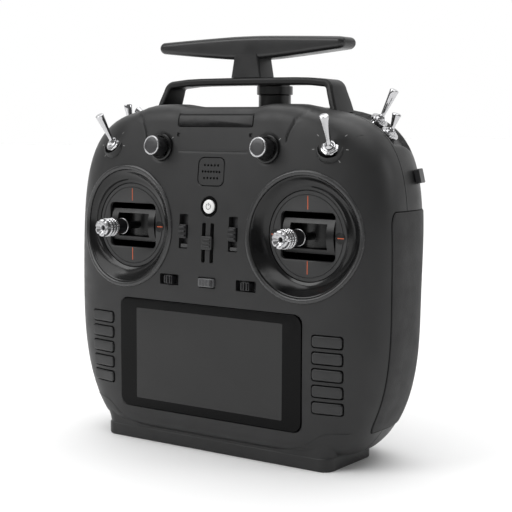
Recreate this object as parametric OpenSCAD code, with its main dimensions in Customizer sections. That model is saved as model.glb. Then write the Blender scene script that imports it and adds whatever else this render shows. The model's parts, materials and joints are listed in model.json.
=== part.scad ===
// Handheld radio transmitter: two-stick controller with a display, trims,
// toggle switches, dials, a carrying handle and a tee-shaped antenna.
// Millimetres. X to the user's right as seen from the front, -Y out of the
// front face, +Z up. The origin is the middle of the foot's underside.

/* [Body] */
// Widest point of the body, side to side
body_w = 195; // [175:1:230]
// Height of the body's flat top above the ground
body_top = 175.5; // [165:0.5:200]
// Front face to the parting plane of the two shells
front_depth = 30; // [26:1:38]
// Parting plane to the back of the rear shell
rear_depth = 42; // [38:1:52]
// How far the top of the front face leans back
top_lean = 8; // [4:0.5:12]
// Thickness of the shell walls
wall = 2.6; // [2:0.1:3.4]
// Rounding of the body's top and bottom edges
edge_r = 7; // [4:0.5:9]

/* [Foot] */
// Width of the foot
foot_w = 141.6; // [110:1:160]
// Depth of the foot, front to back
foot_depth = 43.6; // [36:1:60]
// Height of the foot
foot_h = 7; // [5:0.5:10]
// Corner radius of the foot
foot_corner = 6; // [3:1:10]

/* [Display] */
// Width of the cover glass
glass_w = 113.5; // [90:0.5:116]
// Height of the cover glass
glass_h = 57.2; // [44:0.2:58]
// Height of the middle of the glass above the ground
glass_z = 47.25; // [44:0.25:50]
// Thickness of the cover glass
glass_t = 1.4; // [1:0.1:1.8]
// Corner radius of the cover glass
glass_corner = 5; // [2:0.5:8]
// Width of the display panel behind the glass
panel_w = 99; // [80:1:104]
// Height of the display panel
panel_h = 50; // [40:1:52]

/* [Gimbals] */
// Distance between the two sticks
stick_spacing = 110; // [104:1:118]
// Height of the sticks above the ground
stick_z = 113.5; // [110:0.5:118]
// Outer radius of the trim ring round each gimbal
ring_r = 32; // [29:0.5:33]
// Radius of the round face plate
face_r = 22.2; // [20:0.2:23]
// Width of the window in the face plate
window_w = 30.9; // [28:0.1:32]
// Height of the window in the face plate
window_h = 23.3; // [21:0.1:25]
// Depth of the face plate behind the front plane
face_depth = 7.7; // [6:0.1:9]
// Depth of the stick's pivot behind the front plane
pivot_depth = 24.5; // [23:0.1:26]
// Length of the stick from its pivot to its tip
stick_len = 41.7; // [34:0.1:48]
// Radius of the stick's knurled end
stick_end_r = 4.7; // [3.8:0.1:5.5]
// Radius of the stick's rod
stick_rod_r = 2; // [1.5:0.1:2.2]

/* [Keys and buttons] */
// Number of soft keys in each column
key_count = 5; // [3:1:5]
// Width of a soft key
key_w = 15.6; // [10:0.1:16]
// Height of a soft key
key_h = 5.4; // [4:0.1:6]
// Distance of each key column from the middle
key_x = 70.4; // [68:0.1:71]
// Height of the lowest key above the ground
key_z = 32.1; // [28:0.1:36]
// Distance from one key to the next
key_pitch = 8.05; // [7:0.05:9]
// Radius of the power button
power_r = 3.5; // [2.8:0.1:4.2]
// Height of the power button above the ground
power_z = 125.8; // [124:0.1:128]
// Width of the menu button
menu_w = 9.6; // [7:0.1:11]
// Height of the menu button
menu_h = 4.3; // [3:0.1:5]
// How far a key or button travels
press = 0.5; // [0.3:0.1:0.6]

/* [Trims and sliders] */
// Distance of the two upright trims from the middle
trim_x = 15.5; // [15:0.1:17]
// Height of the middle of the upright trims
trim_z = 112.7; // [110:0.1:115]
// Length of an upright trim's slot
trim_slot = 17; // [14:0.5:20]
// Width of a trim's slot
trim_slot_w = 5; // [4:0.1:6]
// Distance of the two level trims from the middle
level_x = 24.1; // [22:0.1:26]
// Height of the level trims and the menu button
level_z = 87.6; // [85:0.1:89]
// Length of a level trim's slot
level_slot = 11.6; // [10:0.2:14]
// Length of the centre slider's two slots
centre_slot = 19.5; // [16:0.5:21]
// Height of the middle of the centre slider
centre_z = 107.6; // [106:0.1:110]
// Height of the side sliders above the ground
side_z = 142; // [138:1:146]
// Length of a side slider's slot
side_slot = 17; // [14:1:20]

/* [Dials and switches] */
// Distance of each dial from the middle
dial_x = 33; // [31:0.5:36]
// Height of the dials above the ground
dial_z = 155; // [152:0.5:157]
// Radius of a dial
dial_r = 4.9; // [4:0.1:5.5]
// Height of a dial
dial_h = 8; // [6:0.5:11]
// Distance of each front switch from the middle
switch_x = 67.5; // [65:0.5:69]
// Height of the front switches above the ground
switch_z = 156.5; // [154:0.5:158]
// Radius of a switch's threaded bush
bush_r = 3; // [2.6:0.1:3.2]
// Swing of a switch lever each side of its middle position
switch_swing = 25; // [12:1:25]

/* [Handle and antenna] */
// Outer width of the handle where it meets the body
handle_w = 115; // [100:1:130]
// Height of the top of the handle above the ground
handle_top = 189.2; // [187:0.5:205]
// Thickness of the handle's bar
handle_t = 4.2; // [3.6:0.1:6]
// Distance from the front plane to the handle's front edge
handle_front = 29.5; // [26:0.5:32]
// Depth of the handle at its base
handle_depth = 18; // [16:0.5:20]
// Width of the antenna's bar, tip to tip
antenna_w = 116; // [90:1:160]
// Height of the top of the antenna above the ground
antenna_top = 211.9; // [206:0.5:230]
// Radius of the mast behind the handle
mast_r = 8.6; // [8:0.1:11]

/* [Battery] */
// Radius of a battery cell
cell_r = 9.2; // [8:0.1:9.4]
// Length of a battery cell
cell_len = 65; // [50:1:66]
// Width of the battery door
door_w = 84; // [80:1:90]
// Height of the battery door
door_h = 56; // [54:1:60]
// Height of the door's lower edge above the ground
door_z = 24; // [22:0.5:26]

/* [Hidden] */
$fn = 48;
// Clearances: sliding openings, seated pieces, running shafts
slide_gap = 0.3;
seat_gap = 0.1;
run_gap = 0.05;

glass_y = -25.2;
seam_y = glass_y + front_depth;
body_bottom = foot_h;
mid_z = 85;
rise_n = 4.4;
fall_n = 3;
rise_h = body_top - mid_z + 0.5;
fall_h = 96;
crown_n = 6;
front_n = 3;
rear_n = 3;
lean_from = 80;
lean_power = 1.9;
swell = 4.5;

// Half-width of the body at height z
function half_w(z) = let (up = z >= mid_z, n = up ? rise_n : fall_n, h = up ? rise_h : fall_h)
    body_w / 2 * pow(1 - pow(min(1, abs(z - mid_z) / h), n), 1 / n);
function lean(z) = top_lean * pow(max(0, (z - lean_from) / (body_top - lean_from)), lean_power);
// How far the rounded top and bottom edges draw back the front and rear
function edge_in(z) = let (d = max(0, min(z - body_bottom, body_top - z)))
    d >= edge_r ? 0 : edge_r - sqrt(d * (2 * edge_r - d));
function rear_swell(z) = swell * (1 - cos(180 * min(1, max(0, (z - 70) / 60)))) / 2;
function oval(u, n, m) = pow(max(0, 1 - pow(min(1, abs(u)), n)), 1 / m);
function front_y(x, z) =
    seam_y - (front_depth - lean(z) - edge_in(z)) * oval(x / half_w(z), crown_n, front_n);
function rear_y(x, z) =
    seam_y + (rear_depth + rear_swell(z) - edge_in(z)) * oval(x / half_w(z), rear_n, rear_n);
function slope_x(x, z) = (front_y(x + 0.5, z) - front_y(x - 0.5, z));
function slope_z(x, z) = (front_y(x, z + 0.5) - front_y(x, z - 0.5));

// Carries its children to a point of the front face: +Z points out of the face
module on_front(x, z) {
    translate([x, front_y(x, z), z])
        rotate([-atan(slope_z(x, z)), 0, atan(slope_x(x, z))])
            rotate([90, 0, 0])
                children();
}

module on_side(side) {
    mirror([side < 0 ? 1 : 0, 0, 0]) children();
}

module both_sides() {
    for (side = [-1, 1]) on_side(side) children();
}

module round_rect(w, h, r) {
    square([w - 2 * r, h], center = true);
    square([w, h - 2 * r], center = true);
    for (i = [-1, 1], j = [-1, 1])
        translate([i * (w / 2 - r), j * (h / 2 - r)]) circle(r);
}

module slab(w, h, r, low, high) {
    translate([0, 0, low]) linear_extrude(high - low) round_rect(w, h, r);
}

module tube(outer, inner, low, high) {
    rotate_extrude() translate([inner, low]) square([outer - inner, high - low]);
}

module rod(r, low, high) {
    translate([0, 0, low]) cylinder(r = r, h = high - low);
}

// ---- shells ----
rows_up = 13;
rows_down = 9;
steps = 11;
row_z = concat(
    [for (k = [rows_down:-1:1]) mid_z - (mid_z - body_bottom) * (1 - pow(1 - k / rows_down, 2))],
    [for (k = [0:rows_up]) mid_z + (body_top - mid_z) * (1 - pow(1 - k / rows_up, 2.5))]);
function spread(k) = (k < 0 ? -1 : 1) * (1 - pow(1 - abs(k) / steps, 2.2));

// One row of points: side -1 is the front half, 1 is the rear half, 0 lies on the parting plane
function shell_row(z, side, inset) = let (
    tall = body_top - body_bottom,
    w = half_w(z) - inset,
    zz = body_bottom + inset + (z - body_bottom) * (tall - 2 * inset) / tall,
    full = side < 0 ? front_depth - lean(z) - edge_in(z) : rear_depth + rear_swell(z) - edge_in(z),
    n = side < 0 ? crown_n : rear_n)
    [for (k = [-steps:steps])
        [w * spread(k), seam_y + side * (full - inset) * oval(spread(k), n, 3), zz]];

module half_shell(side) {
    last = len(row_z) - 1;
    sheet = function(inset) concat(
        [[for (p = shell_row(row_z[0], side, inset)) [p[0], seam_y, p[2]]]],
        [for (z = row_z) shell_row(z, side, inset)],
        [[for (p = shell_row(row_z[last], side, inset)) [p[0], seam_y, p[2]]]]);
    rows = last + 3;
    cols = 2 * steps + 1;
    points = concat([for (r = sheet(0)) each r], [for (r = sheet(wall)) each r]);
    count = rows * cols;
    quads = [for (i = [0:rows - 2], j = [0:cols - 2])
        [i * cols + j, i * cols + j + 1, (i + 1) * cols + j + 1, (i + 1) * cols + j]];
    rim = concat([for (j = [0:cols - 1]) j],
        [for (i = [1:rows - 1]) i * cols + cols - 1],
        [for (j = [cols - 2:-1:0]) (rows - 1) * cols + j],
        [for (i = [rows - 2:-1:1]) i * cols]);
    outer = [for (q = quads) each [[q[0], q[2], q[1]], [q[0], q[3], q[2]]]];
    inner = [for (t = outer) [t[0] + count, t[2] + count, t[1] + count]];
    strip = [for (k = [0:len(rim) - 1]) let (a = rim[k], b = rim[(k + 1) % len(rim)])
        each [[a, b, b + count], [a, b + count, a + count]]];
    all = concat(outer, inner, strip);
    polyhedron(points, side < 0 ? all : [for (t = all) [t[2], t[1], t[0]]]);
}
// ---- places that several pieces share ----
gimbal_x = stick_spacing / 2;
face_y = glass_y + face_depth;
face_t = 2;
plate_y = face_y + face_t + 0.6;
plate_t = 2;
pivot_y = glass_y + pivot_depth;
ear_x = 18.5;
ear_z = ring_r - 1.4;
ear_r = 3.6;
pilot_r = 1.25;
gimbal_screw = 2.4;
yoke_r = pivot_depth - face_depth + 0.1;
yoke_half_w = window_w / 2 - 0.85;
yoke_half_h = window_h / 2 - 3.25;
yoke_wall = 1.7;
pin_r = 1.5;
frame_half = 19;
frame_wall = 2;
frame_back = 16;
drum_r = yoke_half_w - yoke_wall - 0.5;
drum_half_h = yoke_half_h - yoke_wall - 0.9;
slot_half_w = min(yoke_half_w - 4.2, 10.4);
slot_half_h = drum_half_h + 0.4;
tip_from = stick_len - 16.7;
tip_split = stick_len - 9.7;

board_w = 120;
board_h = 54;
board_y = glass_y + 9;
board_post_x = 55;
board_post_z = 24;

flange = 0.7;
flange_top = wall + slide_gap;
flange_t = 0.6;
key_depth = flange_top + flange_t;
membrane_depth = key_depth + press + 0.75;
membrane_mid = key_z + key_pitch * (key_count - 1) / 2;
membrane_h = key_pitch * key_count + 10;
membrane_w = key_w + 2.8;
membrane_t = 0.8;
carriage_t = 1.3;
trim_lever = 7;
level_lever = 5.2;
centre_leg_x = 2.6;
centre_leg_w = 1.1;
centre_leg_l = 4;
centre_cap_w = 6.6;
centre_cap_l = 7;
side_depth = 14;
side_stem_w = 2;
side_stem_l = 5;
side_cap_w = 6.5;
side_cap_l = 7;

screw_places = [[62, 16], [52, 164]];
screw_r = 1.5;
screw_head_r = 2.6;
screw_seat = 14;
screw_grip = 10;
well_r = screw_head_r + slide_gap;
post_r = 4.4;

mast_y = glass_y + 60;
mast_mid = body_top + 6.8;
mast_top = mast_mid + 4.7;
spigot_r = mast_r - 1.5;
handle_foot = body_top - 0.7;
handle_crest = handle_top + 1.4;
swivel_y = glass_y + 39.4;
swivel_r = 3;
neck_w = 19;
neck_d = 13;

door_t = 2.4;
door_y = seam_y + rear_depth + 0.2;
bay_wall = 2.4;
bay_floor = door_y - door_t - 2 * cell_r - 1.3;
cell_pitch = 2 * cell_r + 1.2;
cover_w = 66;
cover_h = 48;
cover_z = 122;
cover_t = 2.4;
cover_y = seam_y + rear_depth + swell + 0.4;
cover_floor = cover_y - 16;

front_switch = [34, 12];
// The inner and the outer rear switch: x, depth behind the seam, height and tilt
rear_switches = [[73.5, 14, 169.5, 45], [82, 9, 163.2, 40]];
// The long and the short rear lever, left then right: place, length and lean to the side
rear_levers = [[[1, 14, -30], [0, 9.5, 17]], [[0, 16, -17], [1, 9.5, -20]]];
switch_sink = 0.8;
nut_r = 4.6;
nut_t = 1.8;
ball_r = 2.15;
ball_z = 1.2;

// ---- shared frames ----
// The switches: +Z along the threaded bush, out of the case
module at_front_switch(side) {
    translate([side * switch_x, front_y(switch_x, switch_z), switch_z])
        rotate([-front_switch[0], 0, side * front_switch[1]])
            rotate([90, 0, 0])
                translate([0, 0, -switch_sink])
                    children();
}

module at_rear_switch(side, k) {
    s = rear_switches[k];
    on_side(side)
        translate([s[0], seam_y + s[1], s[2]])
            rotate([0, s[3], 0])
                translate([0, 0, -switch_sink])
                    children();
}

// The side slider: +Z out of the side, +Y up the side
side_full = rear_depth + rear_swell(side_z);
function side_at(z) = half_w(z) * oval(side_depth / side_full, rear_n, rear_n);
side_turn = atan(pow(side_depth, 2) / pow(side_full, 3) * pow(half_w(side_z), 3) / pow(side_at(side_z), 2));
side_tilt = atan((side_at(side_z - 1) - side_at(side_z + 1)) / 2 * cos(side_turn));

module at_side_slider(side) {
    on_side(side)
        translate([side_at(side_z), seam_y + side_depth, side_z])
            rotate([0, 0, side_turn])
                rotate([0, -side_tilt, 0])
                    rotate([90, 0, 90])
                        children();
}

module at_pivot(side) {
    translate([side * gimbal_x, pivot_y, stick_z]) children();
}

// ---- front shell ----
module front_post(x, z, r, tip_y) {
    from_y = front_y(x, z) + wall / 2;
    translate([x, from_y, z]) rotate([-90, 0, 0]) cylinder(r = r, h = tip_y - from_y);
}

module pilot(x, z, tip_y, deep) {
    translate([x, tip_y - deep, z]) rotate([-90, 0, 0]) cylinder(r = pilot_r, h = deep + 1);
}

module switch_seat() {
    rod(6.6, -5, 0.3);
}

module switch_hole() {
    rod(5.6, -0.7, 8);
    rod(bush_r + run_gap, -9, 1);
}

module grille_holes(r, low, high) {
    for (row = [-1:1], k = [row == 0 ? -3 : -2 : row == 0 ? 3 : 2])
        translate([k * (row == 0 ? 1.75 : 2.05), row * 3.2, low]) cylinder(r = r, h = high - low, $fn = 16);
}

module front_openings() {
    deep = -wall - 3;
    translate([0, glass_y, glass_z]) rotate([90, 0, 0]) {
        slab(glass_w + 2 * seat_gap, glass_h + 2 * seat_gap, glass_corner, -glass_t - seat_gap, 6);
        slab(panel_w + 3, panel_h + 2, 1, deep, 1);
    }
    both_sides() {
        translate([gimbal_x, plate_y, stick_z]) rotate([90, 0, 0]) rod(ring_r + 0.15, 0, 24);
        for (k = [0:key_count - 1])
            on_front(key_x, key_z + k * key_pitch) {
                slab(key_w + 2 * slide_gap, key_h + 2 * slide_gap, 1.7, deep, 3);
                slab(key_w + 2 * (flange + slide_gap), key_h + 2 * (flange + slide_gap), 1.9, deep - 2, -wall);
            }
        on_front(key_x, membrane_mid)
            slab(membrane_w + 2 * slide_gap, membrane_h - 10 + 2 * slide_gap, 1.9, -12, -membrane_depth + run_gap);
        on_front(trim_x, trim_z) slab(trim_slot_w, trim_slot, 0.6, deep, 3);
        on_front(level_x, level_z) slab(level_slot, trim_slot_w, 0.6, deep, 3);
        on_front(0, centre_z)
            translate([centre_leg_x, 0, 0])
                slab(centre_leg_w + 2 * slide_gap, centre_slot, 0.5, deep, 3);
        on_front(dial_x, dial_z) rod(bush_r + 0.5 + run_gap, deep, 3);
        at_front_switch(1) switch_hole();
    }
    on_front(0, power_z) {
        rod(power_r + slide_gap, deep, 3);
        rod(power_r + 1.4, -0.6, 3);
    }
    on_front(0, level_z) slab(menu_w + 2 * slide_gap, menu_h + 2 * slide_gap, 0.8, deep, 3);
    on_front(0, 143.2) {
        slab(16.2, 14.2, 3.6, -1.3, 3);
        rod(5.6, deep, 0);
    }
    on_front(0, 168.5) slab(46.6, 5.9, 1.2, -1.1, 3);
}

module front_shell() color("#35373a") difference() {
    union() {
        half_shell(-1);
        both_sides() {
            at_front_switch(1) switch_seat();
            for (p = screw_places) front_post(p[0], p[1], post_r, seam_y);
            for (i = [-1, 1], j = [-1, 1]) {
                front_post(gimbal_x + i * ear_x, stick_z + j * ear_z, 3, plate_y - run_gap);
                front_post(board_post_x, glass_z + j * board_post_z, 2.6, board_y - run_gap);
                on_front(key_x, membrane_mid)
                    translate([0, j * (membrane_h / 2 - 2), 0])
                        rod(1.4, -membrane_depth + run_gap, -wall / 2);
            }
        }
    }
    front_openings();
    both_sides() {
        for (p = screw_places)
            translate([p[0], seam_y - screw_grip - 1, p[1]])
                rotate([-90, 0, 0]) cylinder(r = screw_r + run_gap, h = screw_grip + 2);
        for (i = [-1, 1], j = [-1, 1])
            pilot(gimbal_x + i * ear_x, stick_z + j * ear_z, plate_y, gimbal_screw + 0.4);
    }
}

// ---- rear shell ----
module bay(w, h, z, floor_y, mouth_y) {
    translate([-w / 2 - bay_wall, floor_y - bay_wall, z - h / 2 - bay_wall])
        cube([w + 2 * bay_wall, mouth_y - floor_y, h + 2 * bay_wall]);
}

module bay_space(w, h, z, floor_y) {
    translate([0, floor_y, z]) rotate([-90, 0, 0]) slab(w, h, 3, 0, 60);
}

module rear_shell() color("#2e3033") difference() {
    union() {
        half_shell(1);
        bay(door_w, door_h, door_z + door_h / 2, bay_floor, door_y - 2);
        bay(cover_w, cover_h, cover_z, cover_floor, cover_y - 2);
        both_sides() {
            for (p = screw_places)
                translate([p[0], seam_y, p[1]])
                    rotate([-90, 0, 0])
                        cylinder(r = post_r, h = rear_y(p[0], p[1]) - wall / 2 - seam_y);
            for (k = [0, 1]) at_rear_switch(1, k) rod(6, -5, 0);
        }
    }
    bay_space(door_w + 2 * slide_gap, door_h + 2 * slide_gap, door_z + door_h / 2, bay_floor);
    bay_space(cover_w + 2 * seat_gap, cover_h + 2 * seat_gap, cover_z, cover_floor);
    both_sides() {
        for (p = screw_places)
            translate([p[0], 0, p[1]]) rotate([-90, 0, 0]) {
                rod(screw_r + run_gap + 0.1, seam_y - 1, seam_y + screw_seat + 1);
                rod(well_r, seam_y + screw_seat, seam_y + 70);
            }
        for (k = [0, 1]) at_rear_switch(1, k) {
            rod(5.1, -0.7, 8);
            rod(bush_r + run_gap, -9, 1);
        }
        at_side_slider(1) slab(side_stem_w + 2 * slide_gap, side_slot, 0.8, -8, 6);
    }
    translate([0, mast_y, 0]) rod(6.1, body_top - 12, body_top + 5);
}

// ---- foot, grips, handle, antenna ----
module base_foot() color("#2c2d2f") {
    slab(foot_w, foot_depth, foot_corner, 0, foot_h - run_gap);
}

grip_low = 18;
grip_high = 127;
grip_front = 13;
grip_rear = 0.86;
grip_t = 1;
grip_lift = 0.42;
grip_rows = 12;
grip_cols = 16;

// A point of the body's side, lifted off it: u runs from -1 at the front edge to 1 at the rear
function side_point(u, z, lift) = let (
    w = half_w(z),
    full = u < 0 ? front_depth - lean(z) : rear_depth + rear_swell(z),
    d = u < 0 ? -u * grip_front : full * grip_rear * sin(90 * u),
    n = u < 0 ? crown_n : rear_n,
    x = w * oval(d / full, 3, n),
    nx = n * pow(x / w, n - 1) / w,
    ny = (u < 0 ? -1 : 1) * 3 * pow(d / full, 2) / full,
    len = norm([nx, ny]))
    [x + lift * nx / len, seam_y + (u < 0 ? -d : d) + lift * ny / len, z];

module side_grip() {
    cols = grip_cols + 1;
    count = (grip_rows + 1) * cols;
    points = [for (lift = [grip_lift + grip_t, grip_lift], i = [0:grip_rows], j = [0:grip_cols])
        side_point(-1 + 2 * j / grip_cols, grip_low + (grip_high - grip_low) * i / grip_rows, lift)];
    outer = [for (i = [0:grip_rows - 1], j = [0:grip_cols - 1]) let (a = i * cols + j)
        each [[a, a + cols + 1, a + 1], [a, a + cols, a + cols + 1]]];
    rim = concat([for (j = [0:grip_cols]) j],
        [for (i = [1:grip_rows]) i * cols + grip_cols],
        [for (j = [grip_cols - 1:-1:0]) grip_rows * cols + j],
        [for (i = [grip_rows - 1:-1:1]) i * cols]);
    strip = [for (k = [0:len(rim) - 1]) let (a = rim[k], b = rim[(k + 1) % len(rim)])
        each [[a, b, b + count], [a, b + count, a + count]]];
    polyhedron(points, concat(outer, [for (t = outer) [t[0] + count, t[2] + count, t[1] + count]], strip));
}

module side_grips() color("#242527") {
    both_sides() side_grip();
}

module handle() color("#303133") difference() {
    union() {
        intersection() {
            translate([0, mast_y, 0]) rotate([90, 0, 0]) linear_extrude(80) difference() {
                polygon(mirrored([[handle_w / 2, handle_foot], [handle_w / 2 - 5.7, handle_top - 2],
                    [handle_w / 2 - 8, handle_top], [28, handle_crest]]));
                polygon(mirrored([[handle_w / 2 - handle_t, handle_foot - 1],
                    [handle_w / 2 - handle_t - 4.9, handle_top - handle_t - 0.8],
                    [handle_w / 2 - handle_t - 6.2, handle_top - handle_t + 0.6]]));
            }
            rotate([90, 0, 90]) linear_extrude(2 * handle_w, center = true)
                polygon([[glass_y + handle_front, handle_foot],
                    [glass_y + handle_front + 3.2, handle_crest],
                    [glass_y + handle_front + handle_depth - 1.5, handle_crest],
                    [glass_y + handle_front + handle_depth, handle_foot]]);
        }
        translate([-8, swivel_y, mast_top + run_gap]) cube([16, mast_y - swivel_y, handle_top - 0.2 - mast_top]);
        translate([0, mast_y, 0]) rod(8, mast_top + run_gap, handle_top - 0.2);
    }
    translate([0, swivel_y, 0]) rod(swivel_r + run_gap, handle_top - 8, handle_crest + 1);
}

function mirrored(points) = concat(points,
    [for (k = [len(points) - 1:-1:0]) [-points[k][0], points[k][1]]]);

module antenna_mast() color("#2a2b2d") {
    translate([0, mast_y, 0]) {
        rod(mast_r, body_top + run_gap, mast_mid);
        rod(spigot_r, mast_mid - 1, mast_top - 0.2);
        rod(5.9, body_top - 10, body_top + 1);
        tube(mast_r + 0.95, spigot_r + seat_gap, mast_mid + run_gap, mast_top);
    }
}

module antenna() color("#2b2c2e") {
    neck_low = handle_crest + 0.1;
    bar_low = antenna_top - 11.8;
    half = antenna_w / 2;
    translate([0, swivel_y, 0]) {
        rod(swivel_r, neck_low - 4.5, neck_low + 1);
        translate([0, neck_d / 2, 0]) rotate([90, 0, 0]) linear_extrude(neck_d)
            polygon(mirrored([[neck_w / 2, neck_low], [neck_w / 2 - 2.5, bar_low + 2]]));
        translate([0, 8, 0]) rotate([90, 0, 0]) linear_extrude(14.5)
            polygon(mirrored([[9, bar_low], [half - 2.5, bar_low + 3.6], [half, bar_low + 6],
                [half, bar_low + 7.6], [half - 3, bar_low + 10.2], [12, antenna_top]]));
    }
}

// ---- display and electronics ----
module display_glass() color("#141416") {
    translate([0, glass_y, glass_z]) rotate([90, 0, 0])
        slab(glass_w, glass_h, glass_corner, -glass_t, 0.05);
}

module display_panel() color("#444546") {
    translate([0, glass_y + glass_t + 0.15, glass_z]) rotate([90, 0, 0])
        slab(panel_w, panel_h, 0.8, -4, 0);
}

module main_board() color("#1e5b3a") difference() {
    union() {
        translate([0, board_y, glass_z]) rotate([90, 0, 0]) slab(board_w, board_h, 2, -1.6, 0);
        translate([-14, board_y + 1.5, glass_z - 8]) cube([14, 1.4, 14]);
        translate([20, board_y + 1.5, glass_z - 12]) cube([20, 2.2, 15]);
        translate([-46, board_y + 1.5, glass_z + 10]) cube([12, 3.5, 6]);
    }
    both_sides() for (j = [-1, 1])
        translate([board_post_x, board_y - 1, glass_z + j * board_post_z])
            rotate([-90, 0, 0]) cylinder(r = pilot_r, h = 4);
}

module keypad_membranes() color("#4a4b4d") {
    both_sides() on_front(key_x, membrane_mid) {
        slab(membrane_w, membrane_h - 10, 1.5, -membrane_depth - membrane_t, -membrane_depth);
        slab(5, membrane_h, 1.5, -membrane_depth - membrane_t, -membrane_depth);
    }
}

// ---- gimbals ----
ring_steps = 48;
ring_stand = 0.9;
ring_back = plate_y - run_gap;

// The ring's cross-section at one angle, as [radius, y]
function ring_lip(a) = front_y(gimbal_x + ring_r * cos(a), stick_z + ring_r * sin(a)) - ring_stand;
function ring_section(a) = [
    [ring_r, ring_back], [ring_r, ring_lip(a) + 0.6], [ring_r - 0.5, ring_lip(a)],
    [ring_r - 2.3, ring_lip(a)], [ring_r - 2.9, ring_lip(a) + 0.7],
    [face_r + 2, face_y - 0.3], [face_r + 0.2, face_y + 0.2], [face_r + 0.2, ring_back]];

module gimbal_ring() {
    n = len(ring_section(0));
    points = [for (i = [0:ring_steps - 1]) let (a = 360 * i / ring_steps) for (p = ring_section(a))
        [gimbal_x + p[0] * cos(a), p[1], stick_z + p[0] * sin(a)]];
    total = ring_steps * n;
    polyhedron(points, [for (i = [0:ring_steps - 1], j = [0:n - 1]) let (
        a = i * n + j, b = i * n + (j + 1) % n, c = (a + n) % total, d = (b + n) % total)
        each [[a, b, d], [a, d, c]]]);
}

module gimbal_rings() color("#232426") {
    both_sides() gimbal_ring();
}

module gimbal_faces() color("#3a3b3d") {
    both_sides() translate([gimbal_x, face_y, stick_z]) rotate([90, 0, 0]) difference() {
        rod(face_r, -face_t, 0);
        slab(window_w, window_h, 2.4, -face_t - 1, 1);
        tube(face_r - 1.8, face_r - 2.2, -0.3, 1);
    }
}

module gimbal_frames() color("#1d1e20") {
    both_sides() translate([gimbal_x, 0, stick_z]) difference() {
        union() {
            translate([0, plate_y, 0]) rotate([-90, 0, 0]) {
                rod(ring_r - 1, 0, plate_t);
                for (i = [-1, 1], j = [-1, 1])
                    translate([i * ear_x, j * ear_z, 0]) cylinder(r = ear_r, h = plate_t);
                for (i = [-1, 1])
                    translate([i * ear_x - ear_r, -ear_z, 0]) cube([2 * ear_r, 2 * ear_z, plate_t]);
            }
            translate([-frame_half, plate_y, -frame_half])
                cube([2 * frame_half, pivot_y + frame_back - plate_y, 2 * frame_half]);
        }
        translate([-frame_half + frame_wall, plate_y - 1, -frame_half + frame_wall])
            cube([2 * (frame_half - frame_wall), pivot_y + frame_back - plate_y - 1,
                2 * (frame_half - frame_wall)]);
        for (i = [-1, 1], j = [-1, 1])
            translate([i * ear_x, plate_y - 1, j * ear_z]) rotate([-90, 0, 0]) cylinder(r = pilot_r + 0.2, h = 9);
        translate([0, pivot_y, 0]) rotate([0, 90, 0]) rod(pin_r + run_gap, -40, 40);
    }
    both_sides() at_pivot(1) for (i = [-1, 1]) on_side(i)
        rotate([0, 90, 0]) tube(3.6, pin_r + run_gap, yoke_half_w + 0.4, frame_half - frame_wall);
}

// The yoke nods up and down on two pins and carries the drum
module yoke(side) color("#2d2e30") at_pivot(side) difference() {
    union() {
        intersection() {
            translate([-yoke_half_w, -yoke_r - 1, -yoke_half_h])
                cube([2 * yoke_half_w, yoke_r + 7, 2 * yoke_half_h]);
            rotate([0, 90, 0]) rod(yoke_r, -20, 20);
        }
        rotate([0, 90, 0]) rod(pin_r, -frame_half + 0.5, frame_half - 0.5);
    }
    translate([-yoke_half_w + yoke_wall, -yoke_r + 2.3, -yoke_half_h + yoke_wall + 0.5])
        cube([2 * (yoke_half_w - yoke_wall), yoke_r + 7, 2 * (yoke_half_h - yoke_wall - 0.5)]);
    translate([-slot_half_w, -yoke_r - 2, -slot_half_h]) cube([2 * slot_half_w, 8, 2 * slot_half_h]);
    rod(pin_r + run_gap, -20, 20);
}

module yoke_left() yoke(-1);
module yoke_right() yoke(1);

// The drum turns left and right in the yoke and holds the stick's rod
module stick(side) color("#1b1b1d") at_pivot(side) {
    intersection() {
        rod(drum_r, -drum_half_h, drum_half_h);
        translate([-20, -20, -20]) cube([40, 25.5, 40]);
    }
    rod(pin_r, -yoke_half_h + 0.1, yoke_half_h - 0.1);
    rotate([90, 0, 0]) rod(stick_rod_r, drum_r - 2, stick_len - 3.5);
}

module stick_left() stick(-1);
module stick_right() stick(1);

// Black lock sleeve and silver crowned end, screwed on the rod
module stick_tip(side) color("#c9cacc") at_pivot(side) rotate([90, 0, 0]) difference() {
    union() {
        rod(stick_end_r - 0.8, tip_from, tip_split - 0.1);
        rod(stick_end_r - 0.6, tip_split, stick_len - 0.6);
        for (k = [0:2]) rod(stick_end_r, tip_split + 0.7 + k * 2.1, tip_split + 2.1 + k * 2.1);
        rod(stick_end_r - 0.2, stick_len - 2.8, stick_len - 0.6);
        translate([0, 0, stick_len - 0.6]) cylinder(r1 = stick_end_r - 0.4, r2 = stick_end_r - 1.3, h = 0.6);
    }
    rod(stick_rod_r + run_gap, tip_from - 1, stick_len - 3.4);
    rod(1.1, stick_len - 4, stick_len + 1);
    for (k = [0:2]) rotate([0, 0, 60 * k + 30])
        translate([-stick_end_r - 1, -0.45, stick_len - 1.4]) cube([2 * stick_end_r + 2, 0.9, 2]);
}

module stick_tip_left() stick_tip(-1);
module stick_tip_right() stick_tip(1);

// ---- keys and buttons ----
module soft_key(side, k) color("#2f3033") on_front(side * key_x, key_z + k * key_pitch) {
    slab(key_w, key_h, 1.5, -key_depth, 0.5);
    slab(key_w + 2 * flange, key_h + 2 * flange, 1.8, -key_depth, -flange_top);
}

module power_button() color("#ececec") on_front(0, power_z) {
    rod(power_r, -key_depth, 0.5);
    rod(power_r + flange + 0.3, -key_depth, -flange_top);
}

module menu_button() color("#707174") on_front(0, level_z) {
    slab(menu_w, menu_h, 0.6, -key_depth, 1.6);
    slab(menu_w + 2 * flange, menu_h + 2 * flange, 1, -key_depth, -flange_top);
}

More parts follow.
